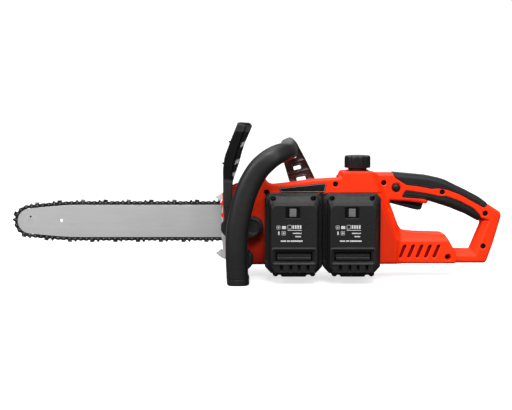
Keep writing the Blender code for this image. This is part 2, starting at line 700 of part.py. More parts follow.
def bar_half_height(x):
    """Half height ahead of the sprocket: a slight crown that runs into the round nose."""
    share = max(0.0, min(1.0, (x - NOSE[0]) / CROWN))
    return NOSE_R + (BAR_HALF - NOSE_R) * math.sin(share * math.pi / 2)


def arc(centre, radius, start, end, steps):
    """Points of an arc between two angles in degrees."""
    return [polar(centre, radius, math.radians(start + (end - start) * i / steps))
            for i in range(steps + 1)]


def mirrored(upper, nose):
    """A path of (X, height) points, the nose, then the path's mirror image back."""
    return ([(x, BAR_Z + height) for x, height in upper] + nose
            + [(x, BAR_Z - height) for x, height in reversed(upper)])


top_edge = [(x, bar_half_height(x)) for x in TOP_STATIONS]
# counter-clockwise from the upper tail corner
bar_outline = mirrored(TAIL + top_edge[1:], arc(NOSE, NOSE_R, 84, 276, 12))


def bar_hole(centre, radius, segments):
    return disc("bar_hole", centre, radius, *around(BAR_Y, 5), segments=segments)


bar = prism("guide_bar", bar_outline, *around(BAR_Y, BAR_T / 2), BAR_STEEL)
groove = prism("groove", inset(bar_outline, -3.0), *around(BAR_Y, GROOVE_W / 2))
cut(groove, prism("core", inset(bar_outline, GROOVE_DEPTH), *around(BAR_Y, 3)))
cut(bar, groove)
cut(bar, disc("nose_pocket", NOSE, 20.3, *around(BAR_Y, 1.0), segments=32))
cut(bar, box("stud_slot", (-22, 17), around(BAR_Y, 5), around(BAR_Z, SHAFT_R + 0.35)))
cut(bar, bar_hole(TENSION_HOLE, 2.8, 14))
cut(bar, bar_hole(HANG_HOLE, 2.6, 16))
cut(bar, bar_hole(NOSE, NOSE_BORE_R, 16))

rivet_profile = [(NOSE_RIVET_R, y) for y in around(BAR_Y, BAR_T / 2)]
spindle("nose_rivet", NOSE, rivet_profile, STEEL, segments=16)
spindle("tension_pin", TENSION_HOLE, [(2.5, 30.2), (2.5, 37.0), (4.5, 37.0), (4.5, 39.0)],
        STEEL, segments=14)

nose_teeth = sprocket_outline(NOSE, teeth=8, root=14.5, tip=18.9, phase=0.2)
nose_sprocket = prism("nose_sprocket", nose_teeth, *around(BAR_Y, 0.65), DARK)
cut(nose_sprocket, bar_hole(NOSE, NOSE_BORE_R, 16))

# ---------------------------------------------------------------- saw chain
CHAIN_LINKS = 50  # drive links
RIVET_LINE = 3.0  # height of the rivets over the bar rail
STRAP_TOP = 6.0  # height of the links over the bar rail
STRAP_HALF = 1.85  # half width over the links
SPROCKET_PITCH_R = 21.2  # of the rivets round the sprocket
# link shapes: distance along the chain, height over the rail
DRIVE_LINK = [(-4.0, 2.0), (-2.6, -4.4), (2.6, -4.4), (4.0, 2.0)]
CUTTER = [
    (-7.2, 1.8), (7.6, 1.8), (7.0, 7.6), (4.0, 8.2), (2.4, 5.6), (-0.4, 5.6), (-1.2, 8.8),
    (-7.2, 8.1),
]

# closed rail path: top run, nose, bottom run, then round the sprocket
rail = mirrored(top_edge, arc(NOSE, NOSE_R, 86, 274, 16))
rail += arc(SPROCKET, SPROCKET_PITCH_R - RIVET_LINE, -78, 78, 16)
rivets = inset(rail, -RIVET_LINE)
rivet_spans = list(zip(rivets, rivets[1:] + rivets[:1]))
link_step = sum(math.dist(a, b) for a, b in rivet_spans) / (2 * CHAIN_LINKS)


def along_rivets(distance):
    """Point and forward direction at a distance along the rivet line."""
    for start, end in rivet_spans:
        length = math.dist(start, end)
        if distance <= length:
            break
        distance -= length
    run = (end[0] - start[0], end[1] - start[1])
    share = distance / length
    point = (start[0] + run[0] * share, start[1] + run[1] * share)
    return point, (run[0] / length, run[1] / length)


def link(distance, shape, start, end):
    """A link shape stood on the rail at a distance along the rivet line."""
    (x, z), (run_x, run_z) = along_rivets(distance)
    outline = []
    for forward, height in shape:
        out = height - RIVET_LINE
        outline.append((x + run_x * forward + run_z * out, z + run_z * forward - run_x * out))
    return prism("link", outline, start, end)


chain = prism("saw_chain", inset(rail, -STRAP_TOP), *around(BAR_Y, STRAP_HALF), DARK)
cut(chain, prism("inside", inset(rail, -0.45), 25, 40))
links = []
for i in range(CHAIN_LINKS):
    distance = link_step * 2 * i
    (x, _), _ = along_rivets(distance)
    # drive links are left out round the nose and the sprocket
    if NOSE[0] + 16 <= x <= TAIL_X - 12:
        links.append(link(distance, DRIVE_LINK, *around(BAR_Y, 0.6)))
    # a cutter after every second drive link, on alternating sides
    if i % 2 == 0:
        hand = -1 if i % 4 == 0 else 1
        cutter_y = sorted((BAR_Y + hand * 1.0, BAR_Y + hand * 3.1))
        links.append(link(distance + link_step, CUTTER, *cutter_y))
join(chain, merged("links", links))

# ---------------------------------------------------------------- sprocket cover
COVER = [
    (-30, 40), (60, 33.5), (92, 42), (110, 66), (113, 104), (96, 126), (62, 134.5),
    (-30, 134.5),
]
COVER_FACE = 58.0

cover = prism("sprocket_cover", COVER, 27.4, COVER_FACE, RED, high=4.0)
cut(cover, prism("hollow", inset(COVER, WALL), 20, COVER_FACE - WALL))
cut(cover, box("mouth", (-40, -24), (20, 52.5), (45.5, 128.5)))
cut(cover, disc("stud_hole", STUD, 5.0, 40, 70, segments=16))

# ---------------------------------------------------------------- lock knob and tension dial
KNOB_LOBES = 9
KNOB_POINTS = 36
KNOB_Y = COVER_FACE + 0.4

knob_outline = []
for i in range(KNOB_POINTS):
    angle = 2 * math.pi * i / KNOB_POINTS
    knob_outline.append(polar(STUD, 23.0 + 1.0 * math.cos(KNOB_LOBES * angle), angle))
knob = prism("lock_knob", knob_outline, KNOB_Y, 66.0, BLACK, high=1.5)
wing = rect(around(STUD[0], 20), around(STUD[1], 5))
join(knob, prism("wing", wing, 64.0, 76.0, high=2.0))
cut(knob, disc("bore", STUD, SHAFT_BORE_R, 50, 66.9, segments=16))

DIAL_PROFILE = [(25.2, KNOB_Y), (32.5, KNOB_Y), (32.5, 62.8), (31.3, 64.2), (25.2, 64.2)]
turned("tension_dial", STUD, DIAL_PROFILE, BLACK, segments=40)

# ---------------------------------------------------------------- oil tank
NECK_R = 14.4
NECK_BORE_R = 11.6

tank = box("oil_tank", (167, 207.6), (-34.6, 18.5), (92, 163.5), TANK_PLASTIC)
join(tank, disc("neck", CAP, NECK_R, 160, 171.0, axis="Z", segments=24))
cut(tank, box("tank_hollow", (169.4, 205.2), (-32.2, 16.1), (94.4, 161.0)))
cut(tank, disc("neck_bore", CAP, NECK_BORE_R, 150, 180, axis="Z", segments=24))

# ---------------------------------------------------------------- oil cap
CAP_PROFILE = [(11.2, 163.5), (11.2, 173.2), (15.1, 173.2), (15.1, 177.7)]  # radius, Z
CAP_POINTS = 48

cap = spindle("oil_cap", CAP, CAP_PROFILE, BLACK, axis="Z")
# twelve ribs, each two points wide with two points between
ribbed = [polar(CAP, 20.7 if i % 4 < 2 else 19.6, 2 * math.pi * i / CAP_POINTS)
          for i in range(CAP_POINTS)]
join(cap, prism("cap_top", ribbed, 177.4, 197.8, axis="Z", high=2.2))
seal_profile = rect((NECK_BORE_R, NECK_R - 0.1), (171.3, 172.9))
turned("oil_cap_seal", CAP, seal_profile, RUBBER, axis="Z")

# ---------------------------------------------------------------- oil pump and hose
pump = box("oil_pump", (12, 30), (6.5, 14.0), (44, 58), BLACK)
join(pump, disc("pump_end", (21, 51), 4.5, 13.5, 19.5, segments=14))

HOSE_R = 2.4
HOSE_PATH = [  # x, y, z from the pump to the tank
    (30.4, 10, 51), (33.0, 10, 51), (42, 9, 47), (60, 4, 40), (90, -4, 38), (130, -8, 44),
    (150, -8, 62), (155, -8, 84), (158, -8, 97), (163.6, -8, 101), (166.6, -8, 101),
]
tube("oil_hose", [(*point, HOSE_R, HOSE_R) for point in HOSE_PATH], RUBBER, segments=8)

# ---------------------------------------------------------------- trigger, lock-off and switch
TRIGGER = [
    (246.0, 137.5), (245.0, 128.0), (245.4, 120.2), (247.2, 120.7), (272.5, 114.2),
    (286.2, 110.1), (293.0, 109.8), (296.6, 119.8), (296.0, 127.0), (270.0, 130.0),
    (254.0, 133.0), (252.5, 137.5),
]
prism("trigger", TRIGGER, -TRIGGER_HALF, TRIGGER_HALF, BLACK, low=1.2, high=1.2)
disc("lock_off_button", LOCK_OFF, LOCK_OFF_R, -20.4, 20.4, BLACK, low=1.0, high=1.0)
switch = box("switch_body", (264, 292), (-9, 9), (139.0, 155.5), BLACK)
join(switch, box("plunger", (282, 286), (-3, 3), (137.6, 139.6)))

# ---------------------------------------------------------------- controller
board = box("controller_board", (118, 158), (-33.5, -31.7), (48, 126), BOARD_GREEN)
join(
    board,
    box("heat_sink", (122, 154), (-32, -22), (96, 122)),
    box("capacitor", (124, 136), (-32, -20), (60, 84)),
    box("connector", (142, 154), (-32, -24), (54, 64)),
)

# ---------------------------------------------------------------- housing screws
HEAD_R = 3.6
SHANK_R = 1.8
for number, centre in enumerate(SCREWS_BODY + SCREWS_LOOP, 1):
    face = LEFT_FACE if centre in SCREWS_BODY else -LOOP_HALF
    seat = face + SCREW_SEAT - 0.3
    profile = [(HEAD_R, seat - 1.7), (HEAD_R, seat), (SHANK_R, seat), (SHANK_R, 12.0)]
    spindle(f"housing_screw_{number}", centre, profile, DARK, segments=12)
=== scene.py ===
"""Looks of a cordless chainsaw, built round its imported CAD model.

Frame: +X runs to the rear handle, +Y to the side of the guide bar, -Y to the side of the
battery packs, +Z up. Sizes are in millimetres and become metres when a mesh is made.
Outlines are lists of (x, z); a third number on a point is the radius of its corner.
The helpers come first, then the materials, then one section for each piece, and the calls last.
"""

import math
from functools import reduce

import bmesh
import bpy
import numpy as np
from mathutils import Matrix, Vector

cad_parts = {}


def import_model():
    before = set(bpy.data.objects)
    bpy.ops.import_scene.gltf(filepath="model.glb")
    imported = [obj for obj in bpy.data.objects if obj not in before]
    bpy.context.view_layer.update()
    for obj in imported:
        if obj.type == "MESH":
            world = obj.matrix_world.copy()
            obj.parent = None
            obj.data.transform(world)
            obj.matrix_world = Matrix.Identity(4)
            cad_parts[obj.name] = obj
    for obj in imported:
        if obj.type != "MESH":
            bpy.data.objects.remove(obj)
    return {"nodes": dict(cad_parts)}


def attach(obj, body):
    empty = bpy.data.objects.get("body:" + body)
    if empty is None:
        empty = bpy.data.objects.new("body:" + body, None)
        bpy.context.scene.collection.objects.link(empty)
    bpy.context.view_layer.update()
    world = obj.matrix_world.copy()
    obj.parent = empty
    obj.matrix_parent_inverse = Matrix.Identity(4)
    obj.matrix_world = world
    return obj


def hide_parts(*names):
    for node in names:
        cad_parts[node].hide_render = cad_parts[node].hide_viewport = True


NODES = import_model()["nodes"]
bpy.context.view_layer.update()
MM = 0.001
F32 = np.float32


# ================================================================ meshes
def smooth(mesh, sharp):
    """Smooth shading that keeps edges above sharp degrees crisp."""
    mesh.shade_smooth()
    mesh.set_sharp_from_angle(angle=math.radians(sharp))


def place(name, mesh, materials, sharp=None):
    """An object in the scene with one material or a list of them."""
    obj = bpy.data.objects.new(name, mesh)
    bpy.context.scene.collection.objects.link(obj)
    for material in materials if isinstance(materials, list) else [materials]:
        mesh.materials.append(material)
    if sharp is not None:
        smooth(mesh, sharp)
    return obj


def place_bmesh(name, bm, materials, sharp=35):
    bmesh.ops.recalc_face_normals(bm, faces=bm.faces[:])
    mesh = bpy.data.meshes.new(name)
    bm.to_mesh(mesh)
    bm.free()
    return place(name, mesh, materials, sharp)


def register(obj, body, node=None):
    """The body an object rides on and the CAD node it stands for."""
    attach(obj, body)
    if node:
        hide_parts(node)


def quad_mesh(name, points, quads):
    mesh = bpy.data.meshes.new(name)
    points = np.asarray(points, F32) * F32(MM)
    count = len(quads)
    mesh.vertices.add(len(points))
    mesh.vertices.foreach_set("co", points.ravel())
    mesh.loops.add(count * 4)
    mesh.loops.foreach_set("vertex_index", quads.astype(np.int32).ravel())
    mesh.polygons.add(count)
    mesh.polygons.foreach_set("loop_start", np.arange(0, count * 4, 4, dtype=np.int32))
    mesh.polygons.foreach_set("loop_total", np.full(count, 4, np.int32))
    mesh.update(calc_edges=True)
    mesh.validate()
    return mesh


def read_vectors(items, name):
    """One row of three numbers for each item of a mesh collection."""
    values = np.zeros(len(items) * 3, F32)
    items.foreach_get(name, values)
    return values.reshape(-1, 3)


def face_centres(obj):
    """The x, y and z of all face centres, in millimetres."""
    return (read_vectors(obj.data.polygons, "center") / MM).T


def set_slots(obj, slots):
    obj.data.polygons.foreach_set("material_index", slots.astype(np.int32))


def store(obj, name, values):
    """Writes a point attribute."""
    layer = obj.data.attributes.new(name, "FLOAT", "POINT")
    layer.data.foreach_set("value", values.astype(F32))


def joined(name, objs):
    """Several objects made into one, keeping their materials."""
    keep = objs[0]
    with bpy.context.temp_override(
        active_object=keep, object=keep, selected_editable_objects=objs, selected_objects=objs
    ):
        bpy.ops.object.join()
    keep.name = name
    keep.data.name = name
    return keep


class Build:
    """Collects closed shapes into one mesh."""

    def __init__(self):
        self.points, self.faces, self.slots = [], [], []

    def rings(self, rings, closed=False, slot=0):
        """Skin between rings of equal count; closed joins last to first, else both are capped."""
        base, count, rows = len(self.points), len(rings[0]), len(rings)
        self.points += [point for ring in rings for point in ring]
        faces = []
        for i in range(rows if closed else rows - 1):
            here, ahead = base + i * count, base + (i + 1) % rows * count
            for j in range(count):
                k = (j + 1) % count
                faces.append((here + j, here + k, ahead + k, ahead + j))
        if not closed:
            faces.append(tuple(reversed(range(base, base + count))))
            faces.append(tuple(range(base + (rows - 1) * count, base + rows * count)))
        self.faces += faces
        self.slots += [slot] * len(faces)

    def done(self, name, materials, sharp=35):
        bm = bmesh.new()
        corners = [bm.verts.new(Vector(point) * MM) for point in self.points]
        for face, slot in zip(self.faces, self.slots):
            bm.faces.new([corners[i] for i in face]).material_index = slot
        return place_bmesh(name, bm, materials, sharp)


def inset(points, depth):
    """The polygon moved inwards by depth along the mitre of each corner."""
    if abs(depth) < 1e-9:
        return list(points)
    area = 0.5 * sum(
        a[0] * b[1] - b[0] * a[1] for a, b in zip(points, list(points[1:]) + [points[0]])
    )
    turn = 1 if area > 0 else -1
    out, count = [], len(points)
    for i in range(count):
        before, here, after = (Vector(points[j][:2]) for j in (i - 1, i, (i + 1) % count))
        edge_in, edge_out = (here - before).normalized(), (after - here).normalized()
        normal_in = Vector((-edge_in.y, edge_in.x)) * turn
        normal_out = Vector((-edge_out.y, edge_out.x)) * turn
        mitre = max(0.35, 1 + normal_in.dot(normal_out))
        out.append(tuple(here + (normal_in + normal_out) * (depth / mitre)))
    return out


def fillet(points, radius=None, step=14):
    """Corners turned into arcs, as far as the edges allow, one point every step degrees.

    The radius is the same for all corners, or the third number of each point.
    """
    count = len(points)
    out = []
    for i in range(count):
        wanted = points[i][2] if radius is None else radius
        before, here, after = (Vector(points[j][:2]) for j in (i - 1, i, (i + 1) % count))
        back, ahead = before - here, after - here
        back_length, ahead_length = back.length, ahead.length
        back, ahead = back / back_length, ahead / ahead_length
        corner = math.acos(max(-1.0, min(1.0, back.dot(ahead))))
        turn = math.pi - corner
        if wanted <= 0 or turn < math.radians(3):
            out.append(tuple(here))
            continue
        reach = min(wanted / math.tan(corner / 2), 0.48 * back_length, 0.48 * ahead_length)
        arc = reach * math.tan(corner / 2)
        center = here + (back + ahead).normalized() * (arc / math.sin(corner / 2))
        start, end = here + back * reach - center, here + ahead * reach - center
        pieces = max(2, int(math.ceil(math.degrees(turn) / step)))
        first = math.atan2(start.y, start.x)
        sweep = math.atan2(end.y, end.x) - first
        while sweep > math.pi:
            sweep -= 2 * math.pi
        while sweep < -math.pi:
            sweep += 2 * math.pi
        for j in range(pieces + 1):
            angle = first + sweep * j / pieces
            out.append((center.x + arc * math.cos(angle), center.y + arc * math.sin(angle)))
    return out


def rectangle(x_low, x_high, z_low, z_high, radius):
    corners = [(x_low, z_low), (x_high, z_low), (x_high, z_high), (x_low, z_high)]
    return fillet(corners, radius)


def circle(center, radius, count=32):
    return [
        (
            center[0] + radius * math.cos(2 * math.pi * i / count),
            center[1] + radius * math.sin(2 * math.pi * i / count),
        )
        for i in range(count)
    ]


def at(across, up, height, axis="Y"):
    """A plane point carried to a height along Y or Z."""
    return (across, height, up) if axis == "Y" else (across, up, height)


def lift(points, height, axis="Y"):
    return [at(*point, height, axis) for point in points]


def prism(build, points, low, high, axis="Y", low_edge=0, high_edge=0, steps=3):
    """A polygon extruded along axis, its two rims rounded in steps."""

    def rim(level, radius, way):
        rings = []
        for i in range(steps if radius > 0 else 0):
            angle = math.pi / 2 * i / steps
            ring = inset(points, radius * (1 - math.sin(angle)))
            rings.append(lift(ring, level + way * radius * (1 - math.cos(angle)), axis))
        return rings

    walls = [lift(points, low + low_edge, axis), lift(points, high - high_edge, axis)]
    build.rings(rim(low, low_edge, 1) + walls + rim(high, high_edge, -1)[::-1])


def turned_ring(build, center, profile, axis="Y", count=48):
    """A closed profile of (radius, height) swept about an axis."""
    rings = []
    for i in range(count):
        angle = 2 * math.pi * i / count
        rings.append([
            at(center[0] + r * math.cos(angle), center[1] + r * math.sin(angle), height, axis)
            for r, height in profile
        ])
    build.rings(rings, closed=True)


def turned(build, center, profile, count, slot=0):
    """A solid of circles of (radius, height) along Y."""
    rings = [lift(circle(center, radius, count), height) for radius, height in profile]
    build.rings(rings, slot=slot)


def plate(name, outer, holes, low, high, material, bevel=0.3):
    """A flat plate with holes between two heights along Y, its rims bevelled."""
    bm = bmesh.new()
    rims = ([], [])
    for outline, grow in [(outer, bevel)] + [(hole, -bevel) for hole in holes]:
        rows = []
        for level, depth in ((low, grow), (low + bevel, 0), (high - bevel, 0), (high, grow)):
            ring = lift(inset(outline, depth), level)
            rows.append([bm.verts.new(Vector(point) * MM) for point in ring])
        count = len(outline)
        for row, above in zip(rows, rows[1:]):
            for j in range(count):
                k = (j + 1) % count
                bm.faces.new((row[j], row[k], above[k], above[j]))
        for rim, row in zip(rims, (rows[0], rows[-1])):
            rim += [bm.edges.get((row[j], row[(j + 1) % count])) for j in range(count)]
    for rim in rims:
        bmesh.ops.triangle_fill(bm, use_beauty=True, use_dissolve=False, edges=rim)
    return place_bmesh(name, bm, material)


# ================================================================ solids held as distance fields
def either(*parts):
    return reduce(np.minimum, parts)


def common(*parts):
    return reduce(np.maximum, parts)


def union(a, b, soft=0):
    """Both shapes, their meeting rounded over a width of soft."""
    if soft <= 0:
        return np.minimum(a, b)
    near = np.maximum(soft - np.abs(a - b), 0) / soft
    return np.minimum(a, b) - near * near * (soft * 0.25)


def overlap(a, b, soft=0):
    return -union(-a, -b, soft)


def carve(body, tool, soft=0):
    return overlap(body, -tool, soft)


def band(values, middle, half):
    """Distance to a band of the given half width."""
    return np.abs(values - middle) - half


def unit(values):
    return np.clip(values, 0, 1)


def polygon(x, z, points):
    """Signed distance to a polygon, negative inside."""
    points = np.asarray(points, F32)
    shape = np.broadcast_shapes(np.shape(x), np.shape(z))
    squared = np.full(shape, 1e9, F32)
    inside = np.zeros(shape, bool)
    for i in range(len(points)):
        a, b = points[i], points[(i + 1) % len(points)]
        edge_x, edge_z = b - a
        from_x, from_z = x - a[0], z - a[1]
        along = np.clip(
            (from_x * edge_x + from_z * edge_z) / (edge_x * edge_x + edge_z * edge_z), 0, 1
        )
        gap_x, gap_z = from_x - edge_x * along, from_z - edge_z * along
        squared = np.minimum(squared, gap_x * gap_x + gap_z * gap_z)
        if a[1] != b[1]:
            inside ^= ((z >= a[1]) != (z >= b[1])) & (from_x < edge_x * from_z / edge_z)
    return (np.where(inside, -1, 1) * np.sqrt(squared)).astype(F32)


def disc(x, z, center, radius):
    return (np.sqrt((x - center[0]) ** 2 + (z - center[1]) ** 2) - radius).astype(F32)


def corner_distance(a, b):
    """Distance to the corner where two sides at distances a and b meet."""
    outside = np.sqrt(np.maximum(a, 0) ** 2 + np.maximum(b, 0) ** 2)
    return np.minimum(np.maximum(a, b), 0) + outside


def box(x, z, x_low, x_high, z_low, z_high, radius=0):
    side_x = np.abs(x - (x_low + x_high) / 2) - (x_high - x_low) / 2 + radius
    side_z = np.abs(z - (z_low + z_high) / 2) - (z_high - z_low) / 2 + radius
    return (corner_distance(side_x, side_z) - radius).astype(F32)


def slab(flat, y, low, high, edge=0):
    """A flat shape given depth between y = low and high, its edges rounded by edge."""
    side = flat + edge
    depth = np.abs(y - (low + high) / 2) - (high - low) / 2 + edge
    if edge <= 0:
        return np.maximum(side, depth)
    return corner_distance(side, depth) - edge


def beside(x, z, a, b):
    """Distance to the line a-b, positive to the right of it when walking from a to b."""
    run, rise = b[0] - a[0], b[1] - a[1]
    return ((x - a[0]) * rise - (z - a[1]) * run) / math.hypot(run, rise)


def grid(fine):
    return fine * 1.0


def weigh_normals(obj):
    mod = obj.modifiers.new("normals", "WEIGHTED_NORMAL")
    mod.keep_sharp = True
    mod.weight = 50


ANY = (None, None, None)


class Field:
    """Distances on a regular grid, turned into a mesh where they are zero."""

    def __init__(self, low, high, cell):
        self.cell = cell
        self.origin = np.array(low, float) - 0.37 * cell
        self.count = [int(math.ceil((high[i] - low[i]) / cell)) + 3 for i in range(3)]
        self.values = np.full(self.count, 60, F32)

    def block(self, low=ANY, high=ANY):
        """Grid slices that cover a box; None leaves a side open."""
        out = []
        for i in range(3):
            start, stop = 0, self.count[i]
            if low[i] is not None:
                start = int((low[i] - self.origin[i]) / self.cell)
            if high[i] is not None:
                stop = int((high[i] - self.origin[i]) / self.cell) + 2
            out.append(slice(max(0, start), min(self.count[i], max(stop, 1))))
        return tuple(out)

    def axes(self, block=None):
        out = []
        for i, part in enumerate(block or self.block()):
            line = (self.origin[i] + self.cell * np.arange(part.start, part.stop)).astype(F32)
            shape = [1, 1, 1]
            shape[i] = len(line)
            out.append(line.reshape(shape))
        return out

    def fill(self, body):
        self.values = body.astype(F32)
        return self

    def add(self, shape, low=ANY, high=ANY, soft=0):
        block = self.block(low, high)
        self.values[block] = union(self.values[block], shape(*self.axes(block)), soft)

    def cut(self, shape, low=ANY, high=ANY, soft=0):
        block = self.block(low, high)
        self.values[block] = carve(self.values[block], shape(*self.axes(block)), soft)

    def surface(self):
        """Closed quad surface where the field is zero: one point in each crossed cell."""
        values = self.values
        for side in (0, -1):
            values[side], values[:, side], values[:, :, side] = (5.0,) * 3
        inside = values < 0
        shape = tuple(n - 1 for n in inside.shape)
        corners = [(i, j, k) for i in (0, 1) for j in (0, 1) for k in (0, 1)]
        filled = np.zeros(shape, np.int8)
        for i, j, k in corners:
            filled += inside[i : shape[0] + i, j : shape[1] + j, k : shape[2] + k]
        active = (filled > 0) & (filled < 8)
        index = np.full(shape, -1, np.int32)
        cells = np.argwhere(active)
        index[active] = np.arange(len(cells), dtype=np.int32)
        points = np.zeros((len(cells), 3))
        crossings = np.zeros(len(cells))
        i, j, k = cells.T
        for start in corners:
            for axis in range(3):
                if start[axis]:
                    continue
                end = list(start)
                end[axis] = 1
                first = values[i + start[0], j + start[1], k + start[2]]
                last = values[i + end[0], j + end[1], k + end[2]]
                crossed = (first < 0) != (last < 0)
                on_edge = np.tile(np.array(start, float), (crossed.sum(), 1))
                on_edge[:, axis] += first[crossed] / (first[crossed] - last[crossed])
                points[crossed] += on_edge
                crossings[crossed] += 1
        points = self.origin + (points / crossings[:, None] + cells) * self.cell

        faces = []
        for axis in range(3):
            second, third = (axis + 1) % 3, (axis + 2) % 3
            low, high = [slice(1, -1)] * 3, [slice(1, -1)] * 3
            low[axis], high[axis] = slice(None, -1), slice(1, None)
            start = inside[tuple(low)]
            edges = np.argwhere(start != inside[tuple(high)])
            leaving = start[tuple(edges.T)]
            edges[:, [second, third]] += 1
            ring = []
            for back in ((1, 1), (0, 1), (0, 0), (1, 0)):
                cell = edges.copy()
                cell[:, [second, third]] -= back
                ring.append(index[tuple(cell.T)])
            quads = np.stack(ring, 1)
            faces.append(np.where(leaving[:, None], quads, quads[:, ::-1]))
        return points, np.concatenate(faces)

    def mesh(self, name, materials, faces, sharp=55):
        """The surface as an object, thinned to about the given number of triangles."""
        obj = place(name, quad_mesh(name, *without_specks(*self.surface())), materials)
        triangles = 2 * len(obj.data.polygons)
        if triangles > faces:
            mod = obj.modifiers.new("lean", "DECIMATE")
            mod.ratio = faces / triangles
            mod.use_collapse_triangulate = True
            graph = bpy.context.evaluated_depsgraph_get()
            lean = bpy.data.meshes.new_from_object(obj.evaluated_get(graph))
            obj.modifiers.clear()
            dense = obj.data
            obj.data = lean
            bpy.data.meshes.remove(dense)
        smooth(obj.data, sharp)
        weigh_normals(obj)
        return obj


def without_specks(points, quads, least=80):
    """Drops islands of only a few points, left where two cuts graze each other."""
    label = np.arange(len(points))
    edges = np.concatenate([quads[:, :2], quads[:, 1:3], quads[:, 2:4]])
    while len(edges):
        a, b = label[edges[:, 0]], label[edges[:, 1]]
        apart = a != b
        edges, a, b = edges[apart], a[apart], b[apart]
        np.minimum.at(label, np.maximum(a, b), np.minimum(a, b))
        while True:
            jump = label[label]
            if (jump == label).all():
                break
            label = jump
    root, count = np.unique(label, return_counts=True)
    kept = np.isin(label, root[count >= least])
    if kept.all():
        return points, quads
    renumbered = np.cumsum(kept) - 1
    return points[kept], renumbered[quads[kept[quads[:, 0]]]]


# ================================================================ materials, in object space
NOISE_SPAN = (0.3, 0.7)  # where most values of a noise lie


def feed(socket, value):
    """Links another socket or sets a value; colours are given without alpha."""
    if isinstance(value, bpy.types.NodeSocket):
        socket.id_data.links.new(value, socket)
    else:
        socket.default_value = (*value, 1) if socket.type == "RGBA" else value


class Shader:
    """A principled material under construction."""

    def __init__(self, name):
        self.material = bpy.data.materials.new(name)
        self.material.use_nodes = True
        self.tree = self.material.node_tree
        self.tree.nodes.clear()
        output = self.node("ShaderNodeOutputMaterial")
        self.principled = self.node("ShaderNodeBsdfPrincipled")
        feed(output.inputs[0], self.principled.outputs[0])
        self.position = self.node("ShaderNodeTexCoord").outputs["Object"]

    def node(self, kind, **inputs):
        node = self.tree.nodes.new(kind)
        for name, value in inputs.items():
            feed(node.inputs[name], value)
        return node

    def stretch(self, scale, turn=(0, 0, 0)):
        mapping = self.node("ShaderNodeMapping", Vector=self.position, Scale=scale, Rotation=turn)
        return mapping.outputs[0]

    def noise(self, scale, detail=3, rough=0.55, where=None, distort=0):
        return self.node(
            "ShaderNodeTexNoise", Vector=where or self.position, Scale=scale,
            Detail=detail, Roughness=rough, Distortion=distort,
        ).outputs[0]

    def cells(self, scale):
        return self.node("ShaderNodeTexVoronoi", Vector=self.position, Scale=scale).outputs[0]

    def math(self, operation, a, b=0, clamp=False):
        node = self.node("ShaderNodeMath")
        node.operation = operation
        node.use_clamp = clamp
        feed(node.inputs[0], a)
        feed(node.inputs[1], b)
        return node.outputs[0]

    def range(self, source, span=NOISE_SPAN, to=(0, 1)):
        node = self.node("ShaderNodeMapRange")
        for socket, value in zip(node.inputs, (source, *span, *to)):
            feed(socket, value)
        return node.outputs[0]

    def mix(self, factor, a, b):
        node = self.node("ShaderNodeMix")
        node.data_type = "RGBA"
        for i, value in ((0, factor), (6, a), (7, b)):
            feed(node.inputs[i], value)
        return node.outputs[2]

    def blend(self, a, b, by, span=NOISE_SPAN, most=1):
        """From colour a towards b, by up to most, as a source crosses its span."""
        return self.mix(self.range(by, span, (0, most)), a, b)

    def axis(self, i):
        return self.node("ShaderNodeSeparateXYZ", Vector=self.position).outputs[i]

    def finish(self, colour, gloss, bumps=(), **more):
        """Colour, roughness and bumps of (height, strength, distance in metres)."""
        more.update(Base_Color=colour, Roughness=gloss)
        last = None
        for height, strength, distance in bumps:
            bump = self.node(
                "ShaderNodeBump", Strength=strength, Distance=distance, Height=height
            )
            if last is not None:
                feed(bump.inputs["Normal"], last)
            last = bump.outputs[0]
        if last is not None:
            more["Normal"] = last
        for name, value in more.items():
            feed(self.principled.inputs[name.replace("_", " ")], value)
        return self.material


def grey(value):
    return (value,) * 3


def shade(colour, factor):
    return tuple(min(1, part * factor) for part in colour)


def moulded(
    name, colour, rough=0.4, grain=900, depth=0.00004, strength=0.25, vary=0.06,
    specular=0.5, coat=0, sheen=0, **more,
):
    """Moulded plastic: fine grain, slight flow mottling, scuffs in the gloss."""
    mat = Shader(name)
    broad = mat.noise(14, rough=0.5)
    flow = mat.noise(60, detail=4, rough=0.6, distort=0.6)
    scuff_place = mat.stretch(scale=(0.35, 1, 1), turn=(0.2, 0.4, 0.3))
    scuff = mat.noise(240, detail=5, rough=0.7, where=scuff_place)
    tone = mat.blend(shade(colour, 1 - vary), shade(colour, 1 + vary), by=broad)
    tone = mat.blend(
        tone, shade(colour, 1 + 1.6 * vary), by=flow, span=(0.35, 0.75),
        most=0.5 * min(1, vary * 8),
    )
    gloss = mat.math(
        "ADD",
        mat.range(broad, to=(rough - 0.035, rough + 0.035)),
        mat.range(scuff, span=(0.45, 0.8), to=(0, 0.14)),
    )
    pebbles = mat.cells(grain)
    fine = mat.noise(grain * 1.7, detail=2, rough=0.5)
    return mat.finish(
        tone, gloss,
        [(pebbles, strength, depth), (fine, strength * 0.6, depth * 0.5), (flow, 0.05, 0.0003)],
        Specular_IOR_Level=specular, Coat_Weight=coat, Coat_Roughness=0.25,
        Sheen_Weight=sheen, Sheen_Roughness=0.5, **more,
    )


